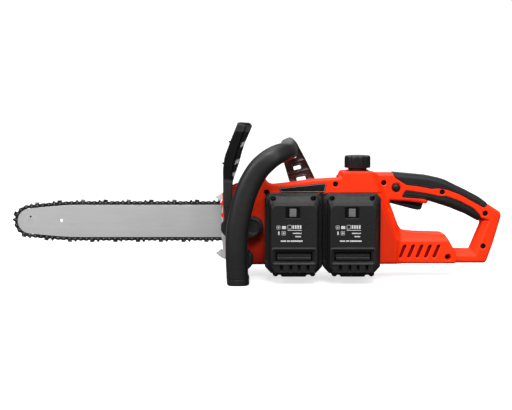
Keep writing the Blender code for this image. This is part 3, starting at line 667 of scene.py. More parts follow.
def rubbery(name, colour, rough=0.68, dots=620):
    """Soft overmould: fine pebbles, a dull bloom and rubbed patches."""
    mat = Shader(name)
    broad = mat.noise(18, detail=4)
    rub = mat.noise(70, detail=5, rough=0.65)
    tone = mat.blend(shade(colour, 0.86), shade(colour, 1.15), by=broad)
    tone = mat.blend(tone, shade(colour, 1.7), by=rub, span=(0.5, 0.8), most=0.35)
    gloss = mat.math(
        "SUBTRACT",
        mat.range(broad, to=(rough - 0.05, rough + 0.05)),
        mat.range(rub, span=(0.5, 0.8), to=(0, 0.12)),
    )
    bumps = [(mat.cells(dots), 0.5, 0.00008), (mat.noise(1500, detail=2), 0.2, 0.00003)]
    return mat.finish(tone, gloss, bumps, Specular_IOR_Level=0.3, Sheen_Weight=0.03)


def brushed(name, colour, rough, along, scale=1400, metal=1, stain=0.12):
    """Ground or rolled metal: lines along the axis of least scale, faint stains, rubbed bands."""
    mat = Shader(name)
    line = mat.noise(scale, rough=0.6, where=mat.stretch(along))
    wide = mat.noise(scale * 0.12, rough=0.6, where=mat.stretch(along))
    cloud = mat.noise(22, detail=4, rough=0.6)
    tone = mat.blend(shade(colour, 0.9), shade(colour, 1.08), by=line)
    tone = mat.blend(tone, shade(colour, 0.55), by=cloud, span=(0.4, 0.75), most=stain)
    tone = mat.blend(tone, shade(colour, 1.2), by=wide, span=(0.45, 0.75), most=0.25)
    gloss = mat.math(
        "ADD",
        mat.range(line, to=(rough - 0.06, rough + 0.07)),
        mat.range(cloud, span=(0.4, 0.8), to=(0, 0.1)),
    )
    return mat.finish(
        tone, gloss, [(line, 0.35, 0.00002), (wide, 0.15, 0.00004)], Metallic=metal
    )


def blued(name, colour, worn, rough, amount):
    """Blackened steel with an amount of bright, worn metal on its high spots."""
    mat = Shader(name)
    fine = mat.noise(300, detail=5, rough=0.65)
    broad = mat.noise(60, rough=0.5)
    mask = mat.math("MULTIPLY", mat.range(fine, span=(0.5, 0.66)), amount, clamp=True)
    tone = mat.blend(shade(colour, 0.75), shade(colour, 1.3), by=broad)
    tone = mat.mix(mask, tone, worn)
    gloss = mat.math(
        "ADD", mat.range(broad, to=(rough - 0.08, rough + 0.1)), mat.range(fine, to=(0, 0.08))
    )
    return mat.finish(tone, gloss, [(fine, 0.25, 0.00004)], Metallic=0.85)


def cast(name, colour, rough):
    mat = Shader(name)
    fine, broad = mat.noise(700, detail=4, rough=0.6), mat.noise(40, detail=4, rough=0.6)
    tone = mat.blend(shade(colour, 0.82), shade(colour, 1.1), by=broad)
    gloss = mat.range(fine, to=(rough - 0.1, rough + 0.1))
    return mat.finish(tone, gloss, [(fine, 0.4, 0.0001)], Metallic=1)


def winding(name, colour):
    """Steel laminations with copper between them, 1.6 stripes to the millimetre."""
    mat = Shader(name)
    stripe = mat.math("FRACT", mat.math("MULTIPLY", mat.axis(1), 1600))
    fine = mat.noise(500)
    tone = mat.blend(colour, shade(colour, 0.45), by=stripe, span=(0.4, 0.6))
    tone = mat.blend(tone, (0.3, 0.29, 0.28), by=fine, span=(0.4, 0.7), most=0.4)
    return mat.finish(
        tone, mat.range(fine, to=(0.3, 0.5)), [(stripe, 0.4, 0.0001)], Metallic=0.9
    )


def board(name):
    """Circuit board: green between tracks."""
    mat = Shader(name)
    track = mat.cells(260)
    fine = mat.noise(900, detail=2)
    tracks = mat.range(track, span=(0.1, 0.2), to=(1, 0))
    tone = mat.mix(tracks, (0.015, 0.12, 0.05), (0.35, 0.34, 0.2))
    return mat.finish(tone, mat.range(fine, to=(0.3, 0.5)), [(track, 0.2, 0.0001)])


def printed(name, colour, rough=0.5):
    """Printed ink: a little uneven."""
    mat = Shader(name)
    fine = mat.noise(900, detail=4, rough=0.7)
    tone = mat.blend(shade(colour, 0.78), shade(colour, 1.05), by=fine, span=(0.35, 0.7))
    gloss = mat.range(fine, to=(rough - 0.05, rough + 0.12))
    return mat.finish(tone, gloss, [(fine, 0.2, 0.00003)])


def bar_steel():
    """Ground bar: lines along its length, darker towards the saw, arcs over the nose wheel."""
    mat = Shader("bar_ground_steel")
    line = mat.noise(1500, rough=0.6, where=mat.stretch((0.03, 1, 1)))
    wide = mat.noise(190, rough=0.6, where=mat.stretch((0.04, 1, 1)))
    cloud = mat.noise(12, detail=4, rough=0.6)
    x, z = mat.axis(0), mat.axis(2)
    tone = mat.blend((0.66, 0.66, 0.665), (0.57, 0.57, 0.575), by=x, span=(-0.36, -0.02))
    tone = mat.blend(tone, grey(0.48), by=line, most=0.55)
    tone = mat.blend(tone, grey(0.68), by=wide, span=(0.45, 0.75), most=0.3)
    tone = mat.blend(tone, grey(0.4), by=cloud, span=(0.45, 0.75), most=0.18)
    # arcs every 2.5 mm, within 13 mm of the nose wheel's centre; lengths here are in metres
    from_x = mat.math("SUBTRACT", x, -0.3494)
    from_z = mat.math("SUBTRACT", z, 0.0868)
    squares = [mat.math("MULTIPLY", side, side) for side in (from_x, from_z)]
    radius = mat.math("SQRT", mat.math("ADD", *squares))
    phase = mat.math("FRACT", mat.math("MULTIPLY", radius, 400))
    arc = mat.math("ABSOLUTE", mat.math("SUBTRACT", phase, 0.5))
    near = mat.range(radius, span=(0.012, 0.0135), to=(1, 0))
    arcs = mat.range(arc, span=(0.36, 0.46), to=(0, 0.4))
    tone = mat.mix(mat.math("MULTIPLY", arcs, near), tone, grey(0.82))
    gloss = mat.math(
        "ADD", mat.range(line, to=(0.36, 0.5)), mat.range(cloud, span=(0.4, 0.8), to=(0, 0.08))
    )
    return mat.finish(
        tone, gloss, [(line, 0.25, 0.00002), (wide, 0.12, 0.00004)], Metallic=0.72
    )


def red_shell():
    """Orange-red plastic: satin, finely grained, slightly mottled."""
    mat = Shader("red_moulding")
    broad = mat.noise(9, rough=0.5)
    flow = mat.noise(45, detail=4, rough=0.6, distort=0.8)
    scuff_place = mat.stretch(scale=(0.3, 1, 1), turn=(0.1, 0.5, 0.2))
    scuff = mat.noise(260, detail=5, rough=0.7, where=scuff_place)
    tone = mat.blend((0.94, 0.029, 0.0018), (0.98, 0.038, 0.0030), by=broad)
    tone = mat.blend(tone, (0.90, 0.030, 0.0028), by=flow, span=(0.4, 0.75), most=0.35)
    tone = mat.blend(tone, (0.98, 0.075, 0.02), by=scuff, span=(0.62, 0.8), most=0.25)
    gloss = mat.math(
        "ADD", mat.range(broad, to=(0.38, 0.44)), mat.range(scuff, span=(0.45, 0.8), to=(0, 0.12))
    )
    bumps = [
        (mat.cells(1100), 0.22, 0.00004),
        (mat.noise(1900, detail=2), 0.15, 0.00002),
        (flow, 0.05, 0.0003),
    ]
    return mat.finish(tone, gloss, bumps, Specular_IOR_Level=0.2)


def tint(material, attribute, start, end, colour):
    """Blends the base colour towards another where a point attribute runs from start to end."""
    tree = material.node_tree
    base = tree.nodes["Principled BSDF"].inputs["Base Color"]
    before = base.links[0].from_socket
    source = tree.nodes.new("ShaderNodeAttribute")
    source.attribute_name = attribute
    fade = tree.nodes.new("ShaderNodeMapRange")
    for socket, value in zip(fade.inputs, (source.outputs["Fac"], start, end, 0, 1)):
        feed(socket, value)
    mix = tree.nodes.new("ShaderNodeMix")
    mix.data_type = "RGBA"
    for i, value in ((0, fade.outputs[0]), (6, before), (7, colour)):
        feed(mix.inputs[i], value)
    feed(base, mix.outputs[2])


RED = red_shell()
# a deeper red that lines the vents: painted shade inside them
RED_VENT_SHADE = moulded(
    "red_moulding_painted_shade", (0.36, 0.003, 0.0008), rough=0.6, vary=0.08, specular=0.1
)
SOFT = rubbery("soft_overmould", (0.0050, 0.0052, 0.0056), rough=0.6)
CHARCOAL = moulded(
    "handle_moulding", (0.0098, 0.0098, 0.0105), grain=800, strength=0.22, vary=0.08,
    specular=0.36, sheen=0.02,
)
# painted shade: the tube's inner side is darkened towards near black, where less light falls
tint(CHARCOAL, "inner", start=0, end=0.85, colour=(0.0022, 0.0022, 0.0026))
# painted highlight: a pale sheen on the top of the cross bar
tint(CHARCOAL, "crown", start=0.1, end=0.9, colour=(0.048, 0.048, 0.049))
# painted shade on the housing: the bay by the packs, the corner behind the guard and the panel
# behind the packs
tint(RED, "shade", start=0, end=1, colour=(0.20, 0.002, 0.0006))
BLACK = moulded(
    "black_moulding", (0.0040, 0.0040, 0.0045), rough=0.5, vary=0.1, specular=0.16
)
GUARD_BLACK = moulded(
    "guard_black_moulding", (0.0022, 0.0021, 0.0027), rough=0.5, vary=0.1, specular=0.10
)
# the lower grip's overmould: a darker copy of the upper grip's, painted shade under the loop
SOFT_SHADED = rubbery("soft_overmould_painted_shade", (0.0026, 0.0024, 0.0025), rough=0.7)
# pale grey for the flange rungs: a painted highlight standing for the sheen of glossy ribs
RIB_SHEEN = moulded("rib_painted_sheen", (0.20, 0.185, 0.185), vary=0.12)
# glossy black whose red-brown tint is a painted reflection of the red housing
GLOSS = moulded(
    "glossy_black_painted_reflection", (0.016, 0.0072, 0.0062), rough=0.24, strength=0.08, vary=0.2,
    coat=0.3, specular=0.35,
)
PACK = moulded(
    "pack_moulding", (0.0086, 0.0086, 0.0089), rough=0.46, grain=1000, strength=0.4,
    depth=0.00006, vary=0.07, specular=0.24,
)
PACK_DARK = moulded(
    "pack_dark_moulding", (0.0020, 0.0020, 0.0022), rough=0.5, vary=0.1, specular=0.08
)
CAP = moulded("cap_moulding", (0.0055, 0.0055, 0.006), rough=0.3, strength=0.12, vary=0.12)
TRIG = moulded("trigger_moulding", (0.005, 0.005, 0.0055), rough=0.38, vary=0.1, specular=0.3)
GREY = moulded("grey_button", (0.12, 0.12, 0.117), rough=0.5, vary=0.08)
INK = printed("white_ink", grey(0.56))
LINE = printed("grey_ink", (0.33, 0.33, 0.34), rough=0.35)
BAR = bar_steel()
CHAIN = blued("chain_links", (0.022, 0.022, 0.024), (0.30, 0.30, 0.31), rough=0.38, amount=0.35)
CUTTER = blued(
    "chain_cutters", (0.022, 0.022, 0.024), (0.35, 0.35, 0.36), rough=0.34, amount=0.35
)
# the far cutters: chromed steel like the near ones, made much lighter as a painted highlight
CUTTER_FAR_HIGHLIGHT = blued(
    "chain_cutters_chrome_painted_highlight", (0.42, 0.42, 0.43), grey(0.62), rough=0.3, amount=0.6
)
RIVET = brushed("chain_rivets", (0.12, 0.12, 0.125), rough=0.34, along=(1, 1, 1), scale=900)
STEEL = brushed("machined_steel", (0.56, 0.56, 0.57), rough=0.3, along=(1, 0.06, 1), scale=900)
PLATED = brushed(
    "plated_steel", (0.88, 0.88, 0.89), rough=0.34, along=(1, 1, 0.08), scale=700,
    metal=0.55, stain=0.2,
)
DARK = blued("oiled_dark_steel", (0.07, 0.07, 0.075), (0.36, 0.36, 0.37), rough=0.38, amount=0.5)
OXIDE = blued("black_oxide_steel", (0.006, 0.006, 0.0065), grey(0.10), rough=0.42, amount=0.2)
ALU = cast("die_cast_aluminium", (0.58, 0.58, 0.6), rough=0.48)
COPPER = winding("copper_winding", (0.62, 0.28, 0.13))
BRASS = brushed("contact_metal_strip", (0.78, 0.52, 0.26), rough=0.3, along=(1, 1, 0.05))
TANK = moulded(
    "tank_moulding", (0.62, 0.61, 0.55), rough=0.45, vary=0.07,
    Subsurface_Weight=0.25, Subsurface_Radius=(0.004, 0.004, 0.003),
)
RUBBER = rubbery("oil_rubber", grey(0.012), rough=0.55, dots=900)
BOARD = board("potted_board")
SLEEVE = moulded("cell_sleeve", (0.05, 0.16, 0.42), rough=0.3, vary=0.1)

# ================================================================ shared places and outlines
SPROCKET = (54.8, 86.8)
STUD = (5, 86.8)
PIVOT = (17.6, 86.9)  # of the hand guard
LOCK_OFF = (252.8, 145.8)
CAP_AT = (191.8, 0)  # x, y
PACKS = (85.5, 176)  # x of the two packs
BODY_HALF = 38  # from the parting plane to the pack side's face
LOOP_HALF = 17.5  # half the width of the rear handle loop
SCREW_SEAT = 5.4  # depth of the screw wells
SCREWS_BODY = ((43.8, 140.3), (153.5, 153))
SCREWS_LOOP = ((232.8, 154), (327.2, 138.9), (397.2, 104.3), (394.8, 50.9), (335.9, 34.9))
SCREWS = SCREWS_BODY + SCREWS_LOOP

TOP_EDGE = [
    (165.4, 172.8, 4), (162.4, 164, 4), (119.3, 161.6, 30), (79.2, 156, 30), (48.2, 152.9, 14),
    (36, 170, 6), (22, 170, 4), (10, 158, 6), (-6, 154, 6),
]
FRONT_EDGE = [(-24, 145, 8), (-24, 89, 2), (-20.4, 83, 2)]
MAIN = [
    (-20.4, 23.6, 3), (262.5, 24.6, 3), (262.5, 63, 0), (220.2, 170, 6), (214, 172.8, 3),
    *TOP_EDGE, *FRONT_EDGE,
]
MAIN_FAR = [
    (-20.4, 23.6, 3), (251.5, 24.6, 3), (251.5, 63, 0), (240, 96, 20), (224.2, 136.8, 20),
    (209, 170, 3), (205, 172.8, 3), *TOP_EDGE, *FRONT_EDGE,
]
LEDGE = [
    (224.2, 138, 3), (-24, 138, 3), (-24, 145, 4), *reversed(TOP_EDGE),
    (205, 172.8, 3), (209, 170, 3),
]
PEDESTAL = [(161.4, 139.5), (165.4, 172.8), (222, 172.8), (232, 139.5)]
VENT = [
    (236, 24.2, 0), (353, 24.2, 6), (347.5, 44.6, 14), (333, 69.3, 6), (328, 71.5, 6),
    (283.6, 73, 10), (263, 75.8, 14), (244, 110, 10), (228, 118, 0),
]
LOOP = fillet([
    (200, 23.4, 0), (398.5, 23.4, 3), (402, 27.5, 5), (412.4, 58.8, 30), (423.6, 100.5, 6),
    (421.7, 106.7, 5), (406.2, 116.5, 60), (386.4, 130, 60), (365.7, 140.9, 60),
    (344.8, 150.9, 40), (330, 158.4, 40), (313.4, 162.3, 60), (300.3, 164.9, 60),
    (274.1, 167.3, 60), (249.4, 169.6, 20), (222.5, 169.8, 0), (200, 169.8, 0),
])
WINDOW = fillet([
    (241.7, 125.7, 2), (259.8, 78, 3), (265, 75.2, 3), (283.6, 73, 10), (328.4, 71.5, 4),
    (333.1, 69.3, 4), (348, 45.6, 3), (376.1, 45, 3), (394.2, 89.2, 4), (366.2, 104, 30),
    (339.6, 115, 30), (306.5, 125.5, 2), (302, 119.4, 3), (297.1, 120.7, 3), (275.4, 123.6, 20),
])
UPPER_GRIP = fillet([
    (247.5, 171.5, 2), (249.6, 163.4, 12), (259.7, 156.9, 14), (269.7, 150.8, 8),
    (285.5, 149.1, 20), (310.7, 144.6, 12), (322, 145.4, 8), (334.9, 143.2, 12),
    (356.5, 135.2, 40), (387.2, 118.2, 40), (395.4, 114.1, 3), (402.5, 119.6, 5),
    (387.4, 131.8, 60), (366.7, 142.7, 60), (345.8, 152.7, 60), (330.7, 160.3, 40),
    (313.8, 164.2, 60), (300.6, 166.8, 60), (274.4, 169.2, 60),
])
LOWER_GRIP = fillet([
    (262, 131, 1.5), (268.3, 141.5, 3), (278.4, 140, 30), (298.5, 137.1, 30),
    (314.3, 133.9, 14), (322.7, 132, 8), (333.9, 132, 12), (356.5, 123.8, 40),
    (378, 112.5, 14), (390, 100.3, 5), (386, 88.6, 2), (364.6, 101.2, 40),
    (338.6, 112.6, 40), (308, 122.4, 10), (303.5, 126, 6), (297.5, 128.2, 6), (276, 129.8, 30),
])


# ================================================================ housing
# In this section out is the distance from the parting plane.
def loop_outline(x, z):
    return carve(polygon(x, z, LOOP), polygon(x, z, WINDOW), 2)


def arm_distance(x, out, z):
    """The skin of the rear handle loop that the grips follow."""
    return slab(loop_outline(x, z), out, -60, LOOP_HALF, 7)


def loop_distance(x, out, z):
    """The rear handle loop without its grips, its window flared at the low rear corner."""
    body = slab(loop_outline(x, z), out, -60, LOOP_HALF, 5)
    grow = out - 7.5
    low = (45.6 - z - grow) * 0.707
    rear = (beside(x, z, (376.1, 45.6), (392.2, 88.5)) - grow) * 0.707
    wedge = common(low, rear, 341 - x, z - 97 + 0.3 * (x - 392))
    return carve(body, wedge, 1.5)


def near_body(x, out, z, level):
    """The pack side: a block with a sloping rear facet and a raised patch under the oil cap."""
    flat = polygon(x, level, fillet(MAIN))
    body = slab(flat, out, -60, BODY_HALF, 4.5)
    facet = 0.827 * beside(x, z, (251.5, 63), (210, 168)) + 0.562 * (out - BODY_HALF)
    low = 0.806 * (x - 251.5) + 0.592 * (out - BODY_HALF)
    slope = np.maximum(facet, low)
    body = overlap(body, slope, 2.5)
    raised = slab(overlap(polygon(x, z, PEDESTAL), flat + 0.6, 1), out, -60, 39.2, 1.2)
    return union(body, overlap(raised, slope - 0.9, 1.5), 0.8)


def far_body(x, out, level):
    """The bar side: a shallow wall below a deep ledge."""
    wall = slab(polygon(x, level, fillet(MAIN_FAR)), out, -60, 24, 2.5)
    return union(wall, slab(polygon(x, level, fillet(LEDGE)), out, -60, 40, 4.5), 3)


def near_screw_face(spot):
    return BODY_HALF if spot in SCREWS_BODY else LOOP_HALF


def screw_posts(shell, outer, x, out, z, near):
    for spot in SCREWS:
        shell = either(shell, common(disc(x, z, spot, 6.2), outer + 1))
        hole = disc(x, z, spot, 2.2)
        if near:
            face = near_screw_face(spot)
            well = disc(x, z, spot, 4.1)
            sink = common(well, face - SCREW_SEAT - out)
            lead = common(well - np.clip(out - (face - 0.7), 0, 0.9), face - 3 - out)
            shell = carve(shell, either(hole, sink, lead))
        else:
            shell = carve(shell, common(hole, out - 13.5))
    return shell


def shared_openings(shell, x, y, out, z):
    """Grip pockets, trigger slot, lock-off button, filler neck and guard shaft."""
    skin = arm_distance(x, out, z)
    for outline in (UPPER_GRIP, LOWER_GRIP):
        shell = carve(shell, common(polygon(x, z, outline) - 0.3, -(skin + 2.3)), 0.5)
    shell = carve(shell, common(box(x, z, 244.5, 300, 108, 134, 2), out - 7.9))
    around = disc(x, z, LOCK_OFF, 8.6)
    dish = common(around - np.maximum(out - LOOP_HALF, 0), LOOP_HALF - 1.4 - out)
    lip = slab(np.abs(around) - 0.9, out, 0, LOOP_HALF + 0.5, 0.5)
    shell = union(shell, common(lip, 10 - out), 0.8)
    shell = carve(shell, either(disc(x, z, LOCK_OFF, 6.6), dish))
    neck = np.sqrt((x - CAP_AT[0]) ** 2 + (y - CAP_AT[1]) ** 2) - 15
    shell = carve(shell, common(neck, 158 - z))
    return carve(shell, disc(x, z, PIVOT, 5.4))


def near_details(shell, outer, x, out, z):
    """Five slanted vents with a baffle close behind them."""
    middle, pitch, rounding = 44.4, 13.6, 1.6
    for i in range(5):
        start = 262.6 + pitch * i
        cross = 0.928 * ((x - start) - (z - middle) * 0.40)
        side = np.abs(cross) - 2.35
        end = band(z, middle, 10.2)
        gap = np.maximum(side + rounding, 0) ** 2 + np.maximum(end + rounding, 0) ** 2
        shell = carve(shell, common(np.sqrt(gap) - rounding, 22 - out), 0.6)
    baffle = common(box(x, z, 252, 326, 32, 58, 2), band(out, 22.4, 0.8))
    return either(shell, common(baffle, outer + 1))


def far_details(shell, x, out, z):
    """The sprocket's opening and shallow panel lines."""
    shell = carve(shell, common(disc(x, z, SPROCKET, 13.2), 15 - out))
    for height in (44, 52, 60):
        line = box(x, z, 262, 322, height - 1.2, height + 1.2, 1.1)
        shell = carve(shell, common(line, 21.6 - out), 0.6)
    panel = np.abs(polygon(x, z, inset(MAIN_FAR, 11))) - 0.8
    return carve(shell, common(panel, 23.2 - out, 130 - x, z - 132), 0.4)


def housing_half(side, name):
    """One housing half; side -1 carries the packs, +1 the guide bar."""
    near = side < 0
    y_low, y_high = (-41.5, 1.5) if near else (-1.5, 42)
    field = Field((-27, y_low, 20.6), (427, y_high, 176), grid(0.9))
    x, y, z = field.axes()
    out = side * y
    # the top falls away towards +Y
    drop = np.where(x < 160, 0.075 * (y + 36), 0.03 * (y + 4)) * unit((z - 110) / 30)
    level = z + np.maximum(drop, 0)
    body = near_body(x, out, z, level) if near else far_body(x, out, level)
    face = 30 if near else 23
    vent = slab(polygon(x, z, fillet(VENT)), out, -60, face, 4)
    top = 0.756 * (z - 60) + 0.655 * (out - (face + 3))
    vent = overlap(vent, np.where(x > 250, top, -50.0), 3)
    outer = union(union(body, loop_distance(x, out, z), 2.5), vent, 3)

    # the walls are 2.6 mm, and thicker under the grips
    thick = np.where((z > 84) & (x > 240), 5.6, 2.6)
    shell = carve(outer, outer + thick)
    # ribs that stiffen the big flat walls
    for rib_x in (20, 98, 226):
        rib = common(band(x, rib_x, 0.9), outer + 1, (28 if near else 16) - out)
        shell = either(shell, rib)
    shell = screw_posts(shell, outer, x, out, z, near)
    shell = shared_openings(shell, x, y, out, z)
    if near:
        shell = near_details(shell, outer, x, out, z)
    else:
        shell = far_details(shell, x, out, z)
    # the halves meet with a fine V at the skin
    shell = common(shell, 0.15 + 0.6 * unit(outer + 0.7) - out)
    return field.fill(shell).mesh(name, RED, 90000)


def near_housing():
    obj = housing_half(-1, "left_shell")
    for material in (RED_VENT_SHADE, BLACK):
        obj.data.materials.append(material)
    # slot 1 lines the vents with painted shade, slot 2 the screw wells
    x, y, z = face_centres(obj)
    slots = ((x > 250) & (x < 330) & (z > 32) & (z < 57) & (y > -29) & (y < -12)).astype(np.int32)
    for spot in SCREWS:
        sunk = y > -(near_screw_face(spot) - 0.9)
        slots[(np.hypot(x - spot[0], z - spot[1]) < 4.5) & sunk] = 2
    set_slots(obj, slots)
    # painted shade: the narrow bay between handle and packs, and the corner behind the guard, are
    # darkened
    x, y, z = (read_vectors(obj.data.vertices, "co") / MM).T
    bay = unit((114 - z) / 80) * unit((82 - x) / 12) * unit((-y - 18) / 12)
    corner = unit((16 - x) / 14) * unit((z - 118) / 20) * unit((-y - 8) / 16)
    # painted shade: the flat panel behind the packs is darkened a little, up to a slanted line
    edge = np.where(z > 66, 251.4 - (z - 66) * 0.327, 251.4 + (66 - z) * 0.05)
    panel = unit((edge - x) / 2 + 0.5) * unit((x - 190) / 8) * unit((-y - 24) / 6)
    panel = panel * unit((150 - z) / 24)
    store(obj, "shade", common(bay, 0.85 * corner, 0.25 * panel))
    register(obj, "housing", "left_housing")


def far_housing():
    register(housing_half(1, "right_shell"), "housing", "right_housing")


def soft_grip(name, outline, material, proud, trigger_way, node):
    """A grip that stands proud of the loop, with a fine groove round its rim."""
    field = Field((238, -21.5, 84), (410, 21.5, 178), grid(0.7))
    x, y, z = field.axes()
    out = np.abs(y)
    skin = arm_distance(x, out, z)
    flat = polygon(x, z, outline)
    body = carve(overlap(skin - proud, flat, 1.6), skin + 1.9)
    groove = common(np.abs(flat + 2.6) - 0.45, -(skin - proud + 0.45))
    body = carve(body, groove, 0.5)
    if trigger_way:
        body = carve(body, common(box(x, z, 240, 300, 112, 138), out - 7.9))
    obj = field.fill(body).mesh(name, material, 36000, sharp=60)
    register(obj, "housing", node)


def screw(build, center, head_y, tip_y, radius=3.6):
    """A screw along +Y: six-lobed socket, pan head and ribbed shank."""
    count = 36
    lobes = []
    for i in range(count):
        angle = 2 * math.pi * i / count
        reach = 1.75 + 0.32 * math.cos(6 * angle)
        lobes.append((center[0] + reach * math.cos(angle), center[1] + reach * math.sin(angle)))
    # the socket from its floor up, then the head over its rim and down to the shank
    rings = [
        lift(inset(lobes, 0.25), head_y + 1.4), lift(lobes, head_y + 1.3),
        lift(lobes, head_y + 0.05),
    ]
    head = [
        (radius - 0.9, 0), (radius - 0.25, 0.25), (radius, 0.7), (radius, 1.7), (1.85, 1.75),
    ]
    rings += [lift(circle(center, size, count), head_y + step) for size, step in head]
    y = head_y + 2.4
    while y < tip_y - 1:
        rings.append(lift(circle(center, 1.5, count), y))
        rings.append(lift(circle(center, 1.85, count), y + 0.55))
        y += 1.1
    rings.append(lift(circle(center, 1, count), tip_y))
    build.rings(rings)


def housing_screws():
    for i, spot in enumerate(SCREWS, 1):
        build = Build()
        screw(build, spot, -(near_screw_face(spot) - SCREW_SEAT + 0.3) - 1.7, 12)
        obj = build.done(f"torx_screw_{i}", OXIDE, sharp=30)
        register(obj, "housing", f"housing_screw_{i}")


# ================================================================ front handle
# stations of the tube from the foot up and over: x, y, z, half width, half depth
LEG = [
    (-0.6, -88, -6, 16, 12.5), (-1.6, -88, 12, 16, 12.6), (-2.2, -88, 24, 16.2, 12.8),
    (-3, -88, 36, 16.8, 13), (-2.8, -88, 62, 17.2, 13.5), (-1.6, -88, 88, 17.3, 13.5),
    (3.5, -88, 114, 17.4, 13.5), (9.5, -88, 137, 17.4, 13.5), (18, -88, 158, 17.2, 13.5),
    (30, -88, 178, 17, 13.5), (44, -88, 192, 16.4, 13.5), (57, -85, 200.6, 15.6, 13.5),
    (68.8, -76, 204.6, 14.8, 12.8), (75.4, -62, 206.2, 14.4, 12.4),
    (78.6, -44, 207, 14.2, 12.2), (80.2, -14, 208.8, 14.4, 12.2),
    (81.4, 12, 210.4, 14.4, 12.2), (82, 30, 211.2, 14.2, 12),
]
FOOT = [
    (-16.8, 0, 3), (15.6, 0, 2), (16.4, 4, 3), (14.6, 12, 12), (13.5, 22, 20), (13.5, 30, 2),
    (-17.5, 30, 2), (-18, 12, 20),
]
BULGE = fillet([(4, 24), (17, 25), (22.5, 32), (22.5, 46), (16, 54), (4, 52)], 6)
LADDER = [
    (82.4, 152.6, 2), (125.6, 156.4, 2), (110.4, 187.6, 30), (96, 214.2, 8), (92, 220.6, 8),
    (75, 222, 8), (68, 210, 10), (73.5, 183, 30),
]
LADDER_HOLES = [
    [(95.2, 152.8), (110.8, 155.6), (108.4, 162.2), (93.6, 159.4)],
    [(89.8, 171.6), (102.4, 174.4), (100.4, 180.6), (88.6, 177.8)],
    [(85.6, 190.6), (94.6, 192.6), (92.6, 197), (84.6, 195.2)],
]


def spline(stations, per):
    """Catmull-Rom through stations of any number of columns, in per steps for each span."""
    rows = np.array(stations, float)
    rows = np.vstack([2 * rows[0] - rows[1], rows, 2 * rows[-1] - rows[-2]])
    out = []
    for i in range(1, len(rows) - 2):
        before, here, after, beyond = rows[i - 1 : i + 3]
        for j in range(per):
            t = j / per
            out.append(
                0.5
                * (
                    2 * here
                    + (after - before) * t
                    + (2 * before - 5 * here + 4 * after - beyond) * t * t
                    + (3 * here - before - 3 * after + beyond) * t**3
                )
            )
    out.append(rows[-2])
    return np.array(out)


def sweep(field, path):
    """Fills in a tube of rounded-rectangle section along rows of a path like LEG."""
    power, margin = 3.1, 6
    points = path[:, :3]
    count = len(points)
    sides, others = [], []
    side = np.array([1.0, 0, 0])
    for i in range(count):
        tangent = points[min(i + 1, count - 1)] - points[max(i - 1, 0)]
        tangent /= np.linalg.norm(tangent)
        side = side - tangent * side.dot(tangent)
        side /= np.linalg.norm(side)
        sides.append(side.copy())
        others.append(np.cross(tangent, side))

    def dot(offset, axis):
        return offset[0] * F32(axis[0]) + offset[1] * F32(axis[1]) + offset[2] * F32(axis[2])

    nearest = np.full(field.values.shape, 1e9, F32)
    for i in range(count - 1):
        a, b = points[i], points[i + 1]
        reach = max(path[i, 3:].max(), path[i + 1, 3:].max()) + margin
        block = field.block(np.minimum(a, b) - reach, np.maximum(a, b) + reach)
        span = b - a
        offset = [line - F32(start) for line, start in zip(field.axes(block), a)]
        t = np.clip(dot(offset, span) / F32(float(span.dot(span))), 0, 1)
        gap = [part - t * F32(step) for part, step in zip(offset, span)]
        radius = np.sqrt(gap[0] * gap[0] + gap[1] * gap[1] + gap[2] * gap[2])
        across = dot(gap, sides[i]) * (1 - t) + dot(gap, sides[i + 1]) * t
        up = dot(gap, others[i]) * (1 - t) + dot(gap, others[i + 1]) * t
        flat = np.sqrt(across * across + up * up) + F32(1e-4)
        width = path[i, 3] * (1 - t) + path[i + 1, 3] * t
        depth = path[i, 4] * (1 - t) + path[i + 1, 4] * t
        ratio = (np.abs(across / width) ** power + np.abs(up / depth) ** power + 1e-9) ** (
            1.0 / power
        ) * (radius / flat)
        distance = (ratio - 1) * radius / np.maximum(ratio, 0.15)
        closer = radius < nearest[block]
        field.values[block] = np.where(closer, distance, field.values[block]).astype(F32)
        nearest[block] = np.where(closer, radius, nearest[block])


def foot_shape(x, y, z):
    """The cross foot under the saw, with two pockets in its top."""
    body = slab(polygon(x, z, fillet(FOOT)), y, -92, 19, 3)
    body = common(body, 0.9 * (z - 24) + 0.42 * (y + 74))
    for start, end in ((-68, -32), (-28, 12)):
        body = carve(body, slab(box(x, z, -12.5, 11.5, 5, 30, 2), y, start, end, 2), 1)
    return body


def ladder_shape(x, y, z):
    """The far leg: a plate with three openings, sunk between its rim and two bars."""
    flat = polygon(x, z, fillet(LADDER))
    for hole in LADDER_HOLES:
        flat = carve(flat, polygon(x, z, fillet(hole, 1.6)), 1)
    sunk = common(flat + 2.3, 3.1 - np.abs(y - 31.25))
    for bar_x, bar_z in ((95, 168.5), (92, 185.5)):
        sunk = carve(sunk, np.abs((z - bar_z) - 0.26 * (x - bar_x)) - 1.5)
    return carve(slab(flat, y, 25, 37.5, 1.6), sunk, 0.7)


def mark_tube(obj, path):
    """Stores how far points lie to the tube's inner side, for its painted shade, and the crown of
    the cross bar, for its painted sheen.
    """
    points = read_vectors(obj.data.vertices, "co") / MM
    normals = read_vectors(obj.data.vertex_normals, "vector")
    gaps = points[:, None, :] - path[None, :, :3].astype(F32)
    near = np.argmin((gaps**2).sum(axis=2), axis=1)
    ahead = path[np.minimum(near + 1, len(path) - 1), :3] - path[np.maximum(near - 1, 0), :3]
    side = np.stack([ahead[:, 2], -ahead[:, 0]], axis=1)
    side /= np.maximum(np.linalg.norm(side, axis=1, keepdims=True), 1e-6)
    offset = (points[:, [0, 2]] - path[near][:, [0, 2]]) * side
    y, z = points[:, 1], points[:, 2]
    # painted shade: darker towards the tube's inner side, fading out along the cross bar
    store(obj, "inner", offset.sum(axis=1) / path[near, 3] * unit((-58 - y) / 14))
    # painted highlight: the upward faces on top of the cross bar get a pale sheen
    upward = unit((normals[:, 2] - 0.45) / 0.4)
    store(obj, "crown", upward * unit((y + 72) / 24) * unit((z - 206) / 8))


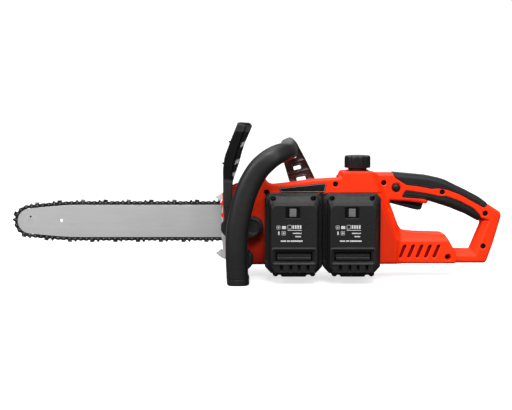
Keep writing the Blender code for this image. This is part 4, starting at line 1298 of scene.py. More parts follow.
def front_handle():
    path = spline(LEG, 4)
    field = Field((-24, -104, -2), (127, 41, 228), grid(1))
    sweep(field, path)
    field.add(foot_shape, high=(None, 24, 40), soft=4)
    # flat sole, and a fine groove above it
    field.cut(lambda x, y, z: z, high=(None, None, 8), soft=2)
    groove_high = (None, 24, 20)

    def groove(x, y, z):
        return common(band(z, 9.6, 0.55), -(field.values[field.block(ANY, groove_high)] + 0.5))

    field.cut(groove, high=groove_high, soft=0.4)
    # bulge behind the leg that closes on the housing's front corner
    field.add(
        lambda x, y, z: slab(polygon(x, z, BULGE), y, -84, -66, 4),
        (0, -92, 18), (34, -60, 62), soft=3,
    )
    field.add(ladder_shape, (60, 22, 152), (127, 41, 226), soft=3)
    obj = field.mesh("handle_tube", CHARCOAL, 80000, sharp=60)
    # the ladder leg is glossier, its red-brown tint a painted reflection of the red housing
    obj.data.materials.append(GLOSS)
    _, y, z = face_centres(obj)
    set_slots(obj, (y > 24.6) & (z < 205))
    mark_tube(obj, path)
    register(obj, "housing", "front_handle")


# ================================================================ hand guard
GUARD = fillet([
    (-1, 251, 3), (-12, 224, 30), (-22, 197, 40), (-24.5, 178, 30), (-23.4, 120, 30),
    (-23.2, 99, 5), (-27.8, 92, 5), (-27.8, 81, 8), (-21, 72.5, 8), (17.6, 69.5, 0),
    (29.5, 74, 15), (35.5, 86.9, 15), (29.5, 99.5, 15), (17.6, 104.5, 4), (-4, 104.5, 12),
    (-10, 112, 14), (-9.5, 160, 50), (0, 186, 40), (6, 208, 40), (14, 232, 40), (21, 245, 5),
    (17, 250, 3),
])
FRONT_STRIP = fillet([
    (-1, 250.4, 3), (-12, 224, 30), (-22, 197, 40), (-24.5, 178, 30), (-24, 118, 0),
    (-10, 118, 0), (-11.5, 160, 40), (-8.5, 186, 40), (-2, 208, 40), (6.5, 232, 40),
    (12.5, 246.5, 4),
])
SHEET = fillet([
    (-24.5, 170, 0), (-22, 197, 40), (-12.5, 222, 30), (-1, 251, 3), (17, 250, 2),
    (16, 245.5, 2), (3, 246, 4), (-7.5, 222, 30), (-17.5, 196, 40), (-19.8, 170, 0),
])
FAR_ARM = fillet([
    (-24.5, 168, 4), (-22, 197, 40), (-12.5, 222, 30), (-1, 251, 3), (17, 250, 3),
    (21, 245, 4), (10, 220, 30), (0, 195, 30), (-6, 168, 4),
])


def guard_arm(x, y, z):
    """The near arm: full thickness in front, a recessed flange with windows behind."""
    whole = polygon(x, z, GUARD)
    strip = polygon(x, z, FRONT_STRIP)
    arm = slab(overlap(whole, (z - 160) * 0.98, 4), y, -66, -59.5, 1.6)
    front = slab(strip, y, -66, -59, 1.6)
    flange = slab(overlap(whole, 158 - z, 1), y, -62.6, -58.5, 0.8)
    windows = []
    for middle, tall in ((182, 5), (206, 8.5), (231.5, 5.5)):
        left = -6.6 + (middle - 172) * 0.345
        lean = 0.37 * tall
        low, high = middle - tall, middle + tall
        corners = [
            (left - lean, low), (left - lean + 6.4, low - 1.2),
            (left + lean + 6.8, high - 1.2), (left + lean, high),
        ]
        windows.append(polygon(x, z, fillet(corners, 1)))
    flange = carve(flange, either(*windows), 0.6)
    body = union(union(arm, front, 1), flange, 0.6)
    # rim along the rear edge of the flange
    rim = slab(common(np.abs(whole + 0.9) - 0.9, 160 - z), y, -65, -58.5, 0.6)
    return union(body, carve(rim, strip - 1), 0.5)


def guard_ribs(x, y, z):
    """Cross ribs and two upright ribs that stiffen the back of the shield."""
    cross = either(
        *(np.abs((z - a) * 0.93 - (x + 10) * 0.36) - 0.9 for a in (178, 194, 210, 226, 240))
    )
    cross = common(cross, band(y, -13, 48))
    upright = either(np.abs(y + 28), np.abs(y - 4)) - 1
    return common(either(cross, upright), polygon(x, z, inset_far_arm()))


def inset_far_arm():
    return inset(FAR_ARM, 1.4)


def boss(x, y, z):
    return slab(disc(x, z, PIVOT, 15.5), y, -64, -38.5, 1)


def boss_cap(x, y, z):
    """The boss drawn out towards +X."""
    stretched = x - np.clip(x - PIVOT[0], 0, 5.4)
    return slab(disc(stretched, z, (PIVOT[0], PIVOT[1] + 0.8), 15.3), y, -64.6, -44, 3)


def boss_dish(x, y, z):
    return common(disc(x, z, (PIVOT[0] + 4, PIVOT[1] + 0.8), 10.5), y + 64)


def boss_bore(x, y, z):
    return common(disc(x, z, PIVOT, 5.3), y + 29, -63.3 - y)


def hand_guard():
    field = Field((-31, -68, 66), (42, 43, 254), grid(0.8))
    field.add(guard_arm, high=(None, -56, None))
    field.add(boss, (0, -68, 68), (36, -36, 106), soft=1.5)
    field.add(boss_cap, (0, -68, 68), (None, -36, 106), soft=1)
    field.cut(boss_dish, (4, -68, 72), (36, -60, 102), soft=0.8)
    field.cut(boss_bore, (8, -68, 76), (28, -30, 98))
    field.add(
        lambda x, y, z: slab(polygon(x, z, SHEET), y, -61, 38, 1.2), (None, -64, 164), soft=1
    )
    field.add(
        lambda x, y, z: slab(polygon(x, z, FAR_ARM), y, 34, 40, 1.6), (None, 30, 162), soft=1
    )
    field.add(guard_ribs, (None, -60, 166), (None, 36, None), soft=0.8)
    obj = field.mesh("guard_shield", GUARD_BLACK, 80000, sharp=60)
    for material in (CHARCOAL, GUARD_BLACK, RIB_SHEEN):
        obj.data.materials.append(material)
    x, y, z = face_centres(obj)
    rear = x > (-9.5 + np.maximum(z - 176, 0) * 0.33)
    tip = (z > 236.5) & (y < -58)
    slots = np.where((z < 162.5) | tip, 1, np.where(rear & (z > 160), 2, 0))
    # the rungs of the flange get a paler grey, a painted highlight for their sheen
    rung = np.zeros(len(x), bool)
    for height in (172, 193, 220.5):
        rung |= np.abs(z - height - 0.5 * (x + 4 - (height - 172) * 0.36)) < 3
    set_slots(obj, np.where(rung & (slots == 2) & (y < -57), 3, slots))
    register(obj, "guard", "hand_guard")


def guard_stops():
    """Two round studs on the front edge."""
    build = Build()
    for center in ((-14, 221), (-24.2, 187.5)):
        prism(build, circle(center, 1.5, 16), -64.5, -60.5, low_edge=0.4, high_edge=0.4)
    register(build.done("guard_stops", GUARD_BLACK), "guard")


# ================================================================ battery packs
# Both packs are built about x = 0; near is the -Y face.
PACK_RIM = [
    (-44.8, 27, 3), (-35, 16.4, 3), (35, 16.4, 3), (44.8, 27, 3),
    (44.8, 134, 5), (38, 141, 5), (-38, 141, 5), (-44.8, 134, 5),
]
PACK_MIDDLE = [
    (-38.5, 26, 3), (-31, 16.4, 3), (31, 16.4, 3), (38.5, 26, 3),
    (38.5, 132, 5), (33, 138.6, 5), (-33, 138.6, 5), (-38.5, 132, 5),
]
PACK_NEAR = [
    (-35.5, 30, 3), (-29, 20, 3), (29, 20, 3), (35.5, 30, 3),
    (35.5, 120, 5), (30, 125.4, 5), (-30, 125.4, 5), (-35.5, 120, 5),
]
PACK_FACE = -98
PACK_SCREWS = ((-32.4, 135), (29.6, 135))


def between(first, second, t):
    return [tuple(a + (b - a) * t for a, b in zip(p, q)) for p, q in zip(first, second)]


def pack_section(y):
    """Outline of the near shell at depth y: a bevelled face, a straight part, a flared rim."""
    if y < -91:
        t = (y + 98.0) / 7.0
        if t < 0:
            t = 0.0
        t = t * (0.35 + 0.65 * t)
        return between(PACK_NEAR, PACK_MIDDLE, min(1.0, t))
    if y < -77:
        return PACK_MIDDLE
    if y < -74.5:
        t = (y + 77.0) / 2.5
        return between(PACK_MIDDLE, PACK_RIM, t * t * (3 - 2 * t))
    return PACK_RIM


def pack_near_shell():
    field = Field((-46, -99.5, 15), (46, -70.5, 143), grid(0.7))
    x, y, z = field.axes()
    for j, depth in enumerate(y[0, :, 0]):
        outline = fillet(pack_section(depth))
        field.values[:, j, :] = polygon(x[:, 0, :], z[:, 0, :], outline)
    body = overlap(field.values, common(PACK_FACE - y, y + 72.15), 1.6)
    # gauge window: a recess with a second, deeper step
    body = carve(body, slab(box(x, z, -13.2, 8.6, 104.9, 121.6, 1), y, -120, -96.4, 0.4), 0.5)
    body = carve(body, slab(box(x, z, -7.9, 4.1, 106.4, 120.2, 0.6), y, -120, -91))
    # latch bay: a framed recess with its opening
    frame = np.abs(box(x, z, -34.2, 34.2, 33.6, 57.6, 4)) - 1.5
    body = union(body, common(slab(frame, y, -98.9, -90, 0.8), -99.2 - y), 0.8)
    body = carve(body, slab(box(x, z, -30.6, 30.6, 36.8, 55, 2.6), y, -120, -95, 0.6), 0.6)
    body = carve(body, slab(box(x, z, -28.4, 28.4, 38.7, 52.4, 1), y, -120, -60))
    # finger ribs in the chin below the latch
    for middle in (-19.4, -4.6, 7.3, 21.5):
        slit = box(x, z, middle - 2.2, middle + 2.2, 22.6, 32.4, 1.4)
        body = carve(body, slab(slit, y, -120, -91, 0.3), 0.5)
    for middle in (-26.5, -12, 1.4, 14.4, 27.6):
        pad = box(x, z, middle - 4.2, middle + 4.2, 20.8, 32.4, 1.5)
        body = union(body, slab(pad, y, -98.5, -90, 0.6), 0.8)
    # screw wells that break the top corners, and the side channels of the rim
    for center in PACK_SCREWS:
        body = carve(body, common(disc(x, z, center, 3.9), y + 78), 0.5)
    for side in (-1, 1):
        channel = common(band(x, side * 41.9, 0.9), band(z, 80, 44), y + 73.6)
        body = carve(body, channel, 0.5)
        step = common(band(x, side * 38.6, 0.5), band(z, 78, 40), band(y, -84, 4.5))
        body = carve(body, step, 0.4)
    # faint rings to the right of the printed marks, and a row of short flutes below them
    for height, radius in ((92, 3.4), (83.5, 2.6), (74, 4)):
        ring = np.abs(disc(x, z, (25.5, height), radius)) - 0.7
        body = carve(body, common(ring, -97.5 - y), 0.3)
    for i in range(11):
        middle = -15 + 3 * i
        flute = box(x, z, middle - 0.8, middle + 0.8, 60.2, 64.2, 0.6)
        body = carve(body, common(flute, -97.3 - y), 0.3)
    # hollow inside
    body = carve(body, common(polygon(x, z, inset(PACK_NEAR, 3)), -92.2 - y, 36 - z))
    return field.fill(body).mesh("pack1_front_shell", PACK, 60000, sharp=50)


def pack_far_shell():
    field = Field((-46, -73, 15), (46, -45, 143), grid(0.8))
    x, y, z = field.axes()
    rim = polygon(x, z, fillet(PACK_RIM))
    body = common(slab(rim, y, -100, -46.3, 2.5), -71.85 - y)
    # a shadow groove just behind the seam, grip flutes on the sides
    body = carve(body, common(np.abs(y + 70.2) - 0.5, -(rim + 0.8)), 0.3)
    for i in range(10):
        flute = common(band(z, 50 + 8 * i, 1.1), -(rim + 0.9), np.abs(y + 60) - 5)
        body = carve(body, flute, 0.5)
    for middle in (-30, 30):
        notch = box(x, z, middle - 3.4, middle + 3.4, 10, 18.4, 0.5)
        body = carve(body, slab(notch, y, -66, -52), 0.4)
    # hollow inside, and the slide rails on the +Y face
    body = carve(body, common(polygon(x, z, inset(PACK_RIM, 2.8)), y + 57.5))
    body = carve(body, common(box(x, z, -20.5, 20.5, 41.4, 150), -46.9 - y))
    body = carve(body, common(box(x, z, -24.5, 24.5, 41.4, 150), -48.2 - y, y + 44.4))
    body = carve(body, common(box(x, z, -13, 13, 70, 150), -54 - y, y + 47.8))
    return field.fill(body).mesh("pack1_back_shell", PACK, 34000, sharp=50)


def pack_latch():
    field = Field((-28, -99.5, 38), (28, -84, 52), grid(0.5))
    x, y, z = field.axes()
    body = slab(box(x, z, -27.4, 27.4, 39.4, 50.6, 1.6), y, -90, -85, 1.2)
    # a raised thumb bar with a rolled edge, and grip lines
    body = union(body, slab(box(x, z, -26.6, 26.6, 39.5, 45.4, 1.8), y, -98.4, -86, 1.8), 1)
    for i in range(3):
        line = common(np.abs(z - 41.4 - 1.3 * i) - 0.25, np.abs(x) - 20, -97.9 - y)
        body = carve(body, line, 0.2)
    obj = field.fill(body).mesh("pack1_latch_bar", PACK, 16000, sharp=50)
    # a second slot is there to use; every face stays on the first
    obj.data.materials.append(PACK_DARK)
    set_slots(obj, np.zeros(len(obj.data.polygons)))
    return obj


def pack_gauge():
    """The key in the gauge window, with five raised bars."""
    build = Build()
    prism(build, rectangle(-7.1, 3.3, 107, 119.6, 0.9), -96.6, -93.5, low_edge=0.5)
    for i in range(5):
        z = 109.2 + 2.05 * i
        mark = rectangle(-5.2, 1.4, z, z + 0.9, 0.3)
        prism(build, mark, -96.9, -96.4, low_edge=0.15, steps=2)
    return build.done("pack1_gauge_key", GREY)


def pack_gauge_surround():
    outer = rectangle(-12.9, 8.3, 105.2, 121.3, 0.8)
    hole = rectangle(-7.8, 4, 106.6, 120.1, 0.6)
    return plate("pack1_gauge_surround", outer, [hole], -97, -96.2, PACK_DARK, bevel=0.15)


def pack_corner_screws():
    build = Build()
    for center in PACK_SCREWS:
        screw(build, center, -81, -66, radius=3.2)
    return build.done("pack1_corner_screws", OXIDE, sharp=30)


def pack_feet():
    """Two round feet and the chin between them."""
    build = Build()
    for middle in (-28.4, 28.4):
        prism(build, circle((middle, 19.4), 4.6), -97, -76, low_edge=1.2, high_edge=1)
    chin = fillet([(-24.5, 21.5), (-18.5, 14.3), (17.5, 14.3), (23.5, 21.5)], 1.2)
    prism(build, chin, -96.2, -76, low_edge=1, high_edge=0.6)
    return build.done("pack1_feet", PACK_DARK)


# printed blocks of (x low, x high, z low, z high), and square frames of (x low, z low, size)
PRINT_MARKS = [
    (-26.8, 88.2, 5.4), (-25, -23.2, 89.8, 91.8), (-18.8, -12.6, 88.6, 93.2), (-10.2, 88.4, 6.2),
    *[(-2.8 + i * 3.7, -0.3 + i * 3.7, 88.8, 94.4) for i in range(4)],
    (-10.2, 11.4, 86.1, 86.9), (-24.6, -22.4, 79.4, 84.8), (-19, 79.2, 5.8),
    (-17.3, -14.9, 81, 83.2), (-2.4, 11.4, 81.1, 82.7), (1.6, 10.4, 76, 77.8),
    (-20.6, -12.6, 68.9, 71), (-11.2, -6.8, 68.9, 71), (-5.6, 12.8, 68.9, 71),
]


def pack_print():
    """Plain printed blocks and frames, without letters or symbols."""
    build = Build()
    stroke = 0.55

    def block(x_low, x_high, z_low, z_high):
        radius = min(0.35, (z_high - z_low) * 0.3)
        prism(build, rectangle(x_low, x_high, z_low, z_high, radius), -98.10, -97.9)

    for mark in PRINT_MARKS:
        if len(mark) == 4:
            block(*mark)
            continue
        x, z, size = mark
        block(x, x + size, z, z + stroke)
        block(x, x + size, z + size - stroke, z + size)
        block(x, x + stroke, z + stroke, z + size - stroke)
        block(x + size - stroke, x + size, z + stroke, z + size - stroke)
    return build.done("pack1_print", INK)


def shift(obj, x):
    points = read_vectors(obj.data.vertices, "co") + np.array([x, 0, 0], F32) * F32(MM)
    obj.data.vertices.foreach_set("co", points.ravel())
    obj.data.update()


def copy_of(obj, name):
    mesh = obj.data.copy()
    mesh.name = name
    new = bpy.data.objects.new(name, mesh)
    bpy.context.scene.collection.objects.link(new)
    if obj.modifiers:
        weigh_normals(new)
    return new


def battery_packs():
    # object, name of the copy, body, CAD node, material slot
    pieces = [
        (pack_near_shell(), "front_shell", "pack", "case_front", "pack_plastic"),
        (pack_far_shell(), "back_shell", "pack", "case_back", "pack_plastic"),
        (pack_latch(), "latch_bar", "latch", "latch", "pack_plastic"),
        (pack_gauge(), "gauge_key", "gauge", "gauge_button", "grey_plastic"),
        (pack_gauge_surround(), "gauge_surround", "pack", None, "pack_plastic"),
        (pack_corner_screws(), "corner_screws", "pack", None, "screw_steel"),
        (pack_feet(), "feet", "pack", None, "pack_plastic"),
        (pack_print(), "print", "pack", None, "grey_plastic"),
    ]
    # the second pack is copied before the first is moved to its place
    for number in (2, 1):
        for original, key, body, node, slot in pieces:
            obj = copy_of(original, f"pack2_{key}") if number == 2 else original
            shift(obj, PACKS[number - 1])
            register(obj, f"{body}_{number}", node and f"pack{number}_{node}")


# ================================================================ badge, oil cap, trigger
BADGE = fillet([(62.4, 147.2, 1.2), (67.5, 140, 1.2), (136.4, 140.2, 1.5), (139.2, 155.4, 1.5)])


def badge():
    """A blank dark plate with a thin outline."""
    build = Build()
    prism(build, BADGE, -39.4, -38.3, low_edge=0.35)
    blank = build.done("badge_blank", BLACK)
    holes = [inset(BADGE, 1.55)]
    outline = plate("badge_outline", inset(BADGE, 1), holes, -39.5, -39.35, LINE, bevel=0.03)
    register(blank, "housing", "badge_plate")
    register(outline, "housing")


# radius, z, and how far the ribs show at that height
CAP_PROFILE = [
    (10.6, 163.5, 0), (11.2, 164.3, 0), (11.2, 173, 0), (15.1, 173.2, 0), (15.1, 177.2, 0),
    (19, 177.4, 0), (20.8, 177.7, 0.6), (21.3, 178.3, 1), (21.4, 179.2, 1), (21.4, 186, 1),
    (21.35, 192.6, 1), (21.2, 194.6, 0.9), (20.7, 196.4, 0.6), (19.4, 197.1, 0.3),
    (18.2, 197.65, 0), (17.2, 197.8, 0), (16.2, 197.75, 0), (15.8, 197.3, 0),
    (15.2, 197, 0), (9, 196.95, 0), (1, 196.95, 0),
]


def cap_groove(angle):
    """Depth round the cap: twelve groups of four narrow ribs, with wider grooves between."""
    deep = 1.25
    turn = (angle / (2 * math.pi) * 12) % 1
    if turn < 0.72:
        across = (turn / 0.72 * 4) % 1
        rib = min(1, max(0, (0.5 - abs(across - 0.5)) * 5))
        return deep * (0.25 + 0.45 * (1 - rib))
    return deep * (1 if 0.12 < (turn - 0.72) / 0.28 < 0.88 else 0.6)


def oil_cap():
    build = Build()
    angles = [2 * math.pi * i / 240 for i in range(240)]
    rings = []
    for radius, z, ribbed in CAP_PROFILE:
        ring = []
        for angle in angles:
            reach = radius - cap_groove(angle) * ribbed
            x, y = CAP_AT[0] + reach * math.cos(angle), CAP_AT[1] + reach * math.sin(angle)
            ring.append((x, y, z))
        rings.append(ring)
    build.rings(rings)
    # raised grip bar across the top
    grip = rectangle(CAP_AT[0] - 12.5, CAP_AT[0] + 12.5, -2.2, 2.2, 2.1)
    prism(build, grip, 196.4, 197.75, axis="Z", high_edge=0.6)
    obj = build.done("oil_cap_ribbed", CAP, sharp=38)
    register(obj, "cap", "oil_cap")


def filler_collar():
    """A ring round the filler neck."""
    build = Build()
    profile = [(15.3, 170), (18.2, 172.7), (18.2, 173.5), (17.6, 174), (16, 174), (15.3, 173.4)]
    turned_ring(build, CAP_AT, profile, axis="Z", count=72)
    register(build.done("filler_collar", BLACK), "housing")


TRIGGER = [
    (246, 137.5, 2), (243.6, 128, 3), (243.8, 119.6, 1), (245.6, 120, 8), (272.5, 112.9, 30),
    (288, 108.9, 10), (295.2, 108.7, 4), (298.6, 119.8, 4), (297.6, 127, 1), (270, 130, 3),
    (254, 133, 3), (252.5, 137.5, 2),
]


def trigger():
    field = Field((241.5, -9, 106), (301, 9, 139), grid(0.45))
    x, y, z = field.axes()
    body = slab(polygon(x, z, fillet(TRIGGER)), y, -7.4, 7.4, 2.6)
    # four grooves across the rear end
    for i in range(4):
        line = np.abs(x - (288.6 + 2.3 * i) - (z - 115) * 0.33) - 0.45
        body = carve(body, common(line, -(body + 0.7), band(z, 114.5, 6.5)), 0.4)
    # hollows either side of a middle web
    hollow = slab(polygon(x, z, inset(TRIGGER, 2.6)), np.abs(y), 2.2, 20)
    body = carve(body, common(hollow, 119 - z + 0.25 * (270 - x)))
    obj = field.fill(body).mesh("trigger_lever", TRIG, 24000)
    register(obj, "trigger", "trigger")


def lock_off_button():
    """A cross button domed at both ends, each with two fine rings."""
    build = Build()
    dome = [(1, 20.4), (2.8, 20.25), (4.3, 19.85), (5.4, 19.2), (6, 18.4), (6.2, 17.4)]
    turned(build, LOCK_OFF, [(r, -y) for r, y in dome] + dome[::-1], count=64)
    for side in (-1, 1):
        for radius, height in ((2.2, 20.36), (3.8, 20.05)):
            turned_ring(build, LOCK_OFF, [
                (radius - 0.3, side * height - side * 0.25),
                (radius, side * (height + 0.03)),
                (radius + 0.3, side * height - side * 0.3),
            ])
    obj = build.done("lock_off_dome", TRIG, sharp=40)
    register(obj, "lock_off", "lock_off_button")


# ================================================================ guide bar
BAR_Y = 32
BAR_Z = SPROCKET[1]
NOSE_X, NOSE_RADIUS = -349.4, 21
BAR_HALF = 27  # greatest half height
CROWN = 85  # length over which the bar tapers to its nose
TAIL = 26  # x of the rear end


def half_height(x):
    t = max(0, min(1, (x - NOSE_X) / CROWN))
    return NOSE_RADIUS + (BAR_HALF - NOSE_RADIUS) * math.sin(t * math.pi / 2)


def bar_edge(first, fine):
    """Upper edge from x = first to the nose, with fine steps in the taper; z from the middle."""
    line = [first, -100, -200] + [NOSE_X + CROWN * (fine - i) / fine for i in range(fine)]
    return [(x, half_height(x)) for x in line]


def arc(center_x, radius, start, sweep, steps):
    angles = [math.radians(start + sweep * i / steps) for i in range(steps + 1)]
    return [(center_x + radius * math.cos(a), radius * math.sin(a)) for a in angles]


def nose_arc():
    return arc(NOSE_X, NOSE_RADIUS, 86, 188, 48)


def mirrored(points):
    return [(x, -z) for x, z in reversed(points)]


def bar_outline(fine=40):
    tail = [(TAIL, 12), (TAIL - 6, 17), (TAIL - 18, 23.3), (TAIL - 31, 26.4)]
    upper = tail + bar_edge(TAIL - 43, fine)
    return [(x, BAR_Z + z) for x, z in upper + nose_arc() + mirrored(upper)]


def guide_bar():
    """Two side plates about a core, with rivets behind the nose."""
    outline = bar_outline()
    holes = [
        rectangle(-22, 17, BAR_Z - 4.35, BAR_Z + 4.35, 4.2),
        circle((-2, 70.5), 2.8, 24),
        circle((-2, 103.1), 2.8, 24),
        circle((-297.4, 87.9), 2.6),
        circle((NOSE_X, BAR_Z), 3.05),
        circle((8, BAR_Z + 15.5), 1.2, 16),
    ]
    near = plate("bar_near", outline, holes, BAR_Y - 2, BAR_Y - 0.8, BAR)
    far = plate("bar_far", outline, holes, BAR_Y + 0.8, BAR_Y + 2, BAR)
    # the core is set in to leave the chain groove, and ends short of the nose wheel
    core_outline = [p for p in inset(bar_outline(12), 5.6) if p[0] > NOSE_X + 23]
    core = plate(
        "bar_core", core_outline, holes[:4], BAR_Y - 0.82, BAR_Y + 0.82, BAR, bevel=0.02
    )
    build = Build()

    def stud(center, side, profile, count, slot=0):
        turned(build, center, [(r, BAR_Y + side * y) for r, y in profile], count, slot)

    head = [(2.1, 1.95), (2.1, 2.02), (1.6, 2.06), (0.4, 2.07)]
    for behind, up in ((27, 7.4), (27, -7.4), (34, 12.6), (34, -12.6)):
        for side in (-1, 1):
            stud((NOSE_X + behind, BAR_Z + up), side, head, count=28)
    small_head = [(1.6, 1.6), (1.6, 2.01), (1.1, 2.02), (0.3, 2)]
    for side in (-1, 1):
        stud((-348.5, 94.2), side, small_head, count=20, slot=1)
    rivets = build.done("bar_rivets", [BAR, OXIDE])
    obj = joined("guide_bar_laminated", [near, far, core, rivets])
    register(obj, "bar", "guide_bar")


# ================================================================ saw chain
RIVET_LINE = 3  # of the rivets above the bar's rail
PITCH_RADIUS = 21.2  # of the rivets round the drive sprocket
LINKS = 50

# link outlines: along the travel, and away from the bar, from the middle of two rivets
SOLE = [
    (-8.2, -1.5), (-6.8, -2.95), (-3, -2.95), (-1.4, -2.85), (1.4, -2.85), (3, -2.95),
    (6.8, -2.95),
]
STRAP = fillet([
    *SOLE, (8.2, -1.5), (8.2, 1.9), (6.7, 3.3), (3.1, 3.3), (1.4, 2.6), (-1.4, 2.6),
    (-3.1, 3.3), (-6.7, 3.3), (-8.2, 1.9),
], 1.3, step=30)
DRIVE_BACK = [(-7.6, 1.9), (-7.6, -1.2)]
DRIVE_TOP = [(7.6, -1.2), (7.6, 1.9), (6, 2.7), (3, 2.4), (-3, 2.4), (-6, 2.7)]
DRIVE = fillet([
    *DRIVE_BACK, (-5.6, -2.6), (-3.9, -4), (-2.9, -7.3), (0.4, -7.3), (2.4, -6.4), (4.6, -3.4),
    (6.4, -2.4), *DRIVE_TOP,
], 0.9, step=30)
DRIVE_SHORT = fillet([*DRIVE_BACK, (-5.6, -2.3), (5.6, -2.3), *DRIVE_TOP], 0.9, step=30)
# the cutter: depth gauge in front, gullet, tooth behind
CUTTER_SIDE = fillet([
    *SOLE, (8.1, -1.5), (8.2, 1.8), (7.1, 4.2), (5.9, 5.75), (4.2, 5.1), (3.2, 2.9), (1.6, 1.8),
    (0.2, 2.2), (-0.9, 4.1), (-1.5, 4.5), (-8.2, 4.2),
], 0.8, step=30)
# section of a tooth: inwards across the chain, and away from the bar
TOOTH_SECTION = [
    (0, 3.4), (-0.35, 4.3), (-1, 5), (-1.05, 5.45), (-0.6, 5.85), (0.4, 6), (1.9, 6.02),
    (1.9, 5.1), (0.8, 5.08), (0.3, 5), (0.1, 4.95), (0.15, 4.85), (0.75, 4.35), (1.15, 3.4),
]


def rivet_path():
    """Closed line of the rivets, the arc length at each point and the length of each step."""
    top = bar_edge(10, 24)
    wrap = arc(SPROCKET[0], PITCH_RADIUS - RIVET_LINE, -78, 156, 32)
    rail = [(x, BAR_Z + z) for x, z in top + nose_arc() + mirrored(top) + wrap]
    line = np.array(inset(rail, -RIVET_LINE))
    steps = np.linalg.norm(np.roll(line, -1, axis=0) - line, axis=1)
    return line, np.concatenate([[0.0], np.cumsum(steps)]), steps


def point_on(path, distance):
    line, lengths, steps = path
    distance = distance % steps.sum()
    i = min(int(np.searchsorted(lengths, distance, side="right")) - 1, len(line) - 1)
    t = (distance - lengths[i]) / steps[i]
    return line[i] + (line[(i + 1) % len(line)] - line[i]) * t


def link_frame(first, second):
    """Middle of two rivets, the direction of travel and the direction away from the bar."""
    along = (second - first) / np.linalg.norm(second - first)
    return (first + second) / 2, along, np.array([along[1], -along[0]])


def side_plate(build, frame, outline, low, high):
    middle, along, away = frame
    points = [tuple(middle + along * p[0] + away * p[1]) for p in outline]
    prism(build, points, low, high, low_edge=0.18, high_edge=0.18, steps=1)


def tooth(build, frame, hand):
    """The bent top of a cutter: a side wall that leans out, then the top plate, in one sheet."""
    middle, along, away = frame
    back = -8.2
    rings = []
    for i in range(9):
        t = i / 8
        ring = []
        for inwards, height in TOOTH_SECTION:
            front = -1.3 - 0.42 * (inwards + 1)
            lean = 0.55 * (height - 3.4) / 2.6
            travel = back + (front + lean - back) * t
            drop = 0.5 * (1 - t) * (height > 4.6)
            y = 30.12 + inwards if hand < 0 else 33.88 - inwards
            point = middle + along * travel + away * (height - drop)
            ring.append((point[0], y, point[1]))
        rings.append(ring)
    build.rings(rings)


def saw_chain():
    drives, straps, near_cutters, far_cutters, rivets = (Build() for _ in range(5))
    path = rivet_path()
    pitch = path[2].sum() / (2 * LINKS)
    for i in range(LINKS):
        first, second, third = (point_on(path, (2 * i + k) * pitch) for k in (-0.5, 0.5, 1.5))
        frame = link_frame(first, second)
        # links round the nose and the sprocket have no tang
        short = frame[0][0] < NOSE_X + 16 or frame[0][0] > TAIL - 12
        outline = DRIVE_SHORT if short else DRIVE
        side_plate(drives, frame, outline, BAR_Y - 0.65, BAR_Y + 0.65)
        frame = link_frame(second, third)
        # every second pair carries a cutter, on alternate sides
        for hand, low, high in ((-1, 30.12, 31.27), (1, 32.73, 33.88)):
            if i % 2 == 0 and (-1 if (i // 2) % 2 == 0 else 1) == hand:
                build = near_cutters if hand < 0 else far_cutters
                side_plate(build, frame, CUTTER_SIDE, low, high)
                tooth(build, frame, hand)
            else:
                side_plate(straps, frame, STRAP, low, high)
        for center in (second, third):
            for side in (-1, 1):
                base = BAR_Y + side * 1.85
                head = [(1.5, 0), (1.5, 0.18), (1.2, 0.38), (0.5, 0.46)]
                turned(rivets, center, [(r, base + side * y) for r, y in head], count=14)
    for build, name, material, node in (
        (drives, "chain_drive_links", CHAIN, None),
        (straps, "chain_tie_straps", CHAIN, "saw_chain"),
        (near_cutters, "chain_cutters_left", CUTTER, None),
        (far_cutters, "chain_cutters_right", CUTTER_FAR_HIGHLIGHT, None),
        (rivets, "chain_rivets", RIVET, None),
    ):
        register(build.done(name, material, sharp=32), "housing", node)


# ================================================================ sprocket cover and its knob
COVER = [
    (-30, 40, 6), (60, 33.5, 20), (92, 42, 24), (110, 66, 20), (113, 104, 24), (96, 126, 22),
    (62, 134.5, 16), (-30, 134.5, 6),
]


def sprocket_cover():
    field = Field((-32, 26, 31), (115, 60, 137), grid(0.8))
    x, y, z = field.axes()
    flat = polygon(x, z, fillet(COVER))
    body = common(slab(flat, y, 27.4, 58, 4.5), 27.4 - y)
    # a dish for the dial, slanted flutes behind it and a line along the rim
    body = carve(body, slab(disc(x, z, STUD, 34.2), y, 57.2, 80, 0.5), 0.6)
    for i in range(6):
        flute = slab(np.abs(x - (52 + 8 * i) - (z - 84) * 0.25) - 1.5, y, 56.6, 80, 0.8)
        body = carve(body, common(flute, flat + 9, -disc(x, z, STUD, 41)), 0.8)
    body = carve(body, common(np.abs(flat + 5) - 0.6, 57.3 - y), 0.4)
    # hollow inside, open towards the bar, bored for the stud
    body = carve(body, common(flat + 2.6, y - 55.2, 20 - y))
    body = carve(body, common(box(x, z, -60, -24, 45.5, 128.5, 2), y - 52.5))
    body = carve(body, disc(x, z, STUD, 5))
    # ribs that guide the chips out
    for radius in (58, 70):
        curve = np.abs(disc(x, z, STUD, radius)) - 0.8
        body = either(body, common(curve, flat + 1, 44 - y, y - 57, 46 - x))
    obj = field.fill(body).mesh("side_cover", RED, 60000)
    register(obj, "housing", "sprocket_cover")


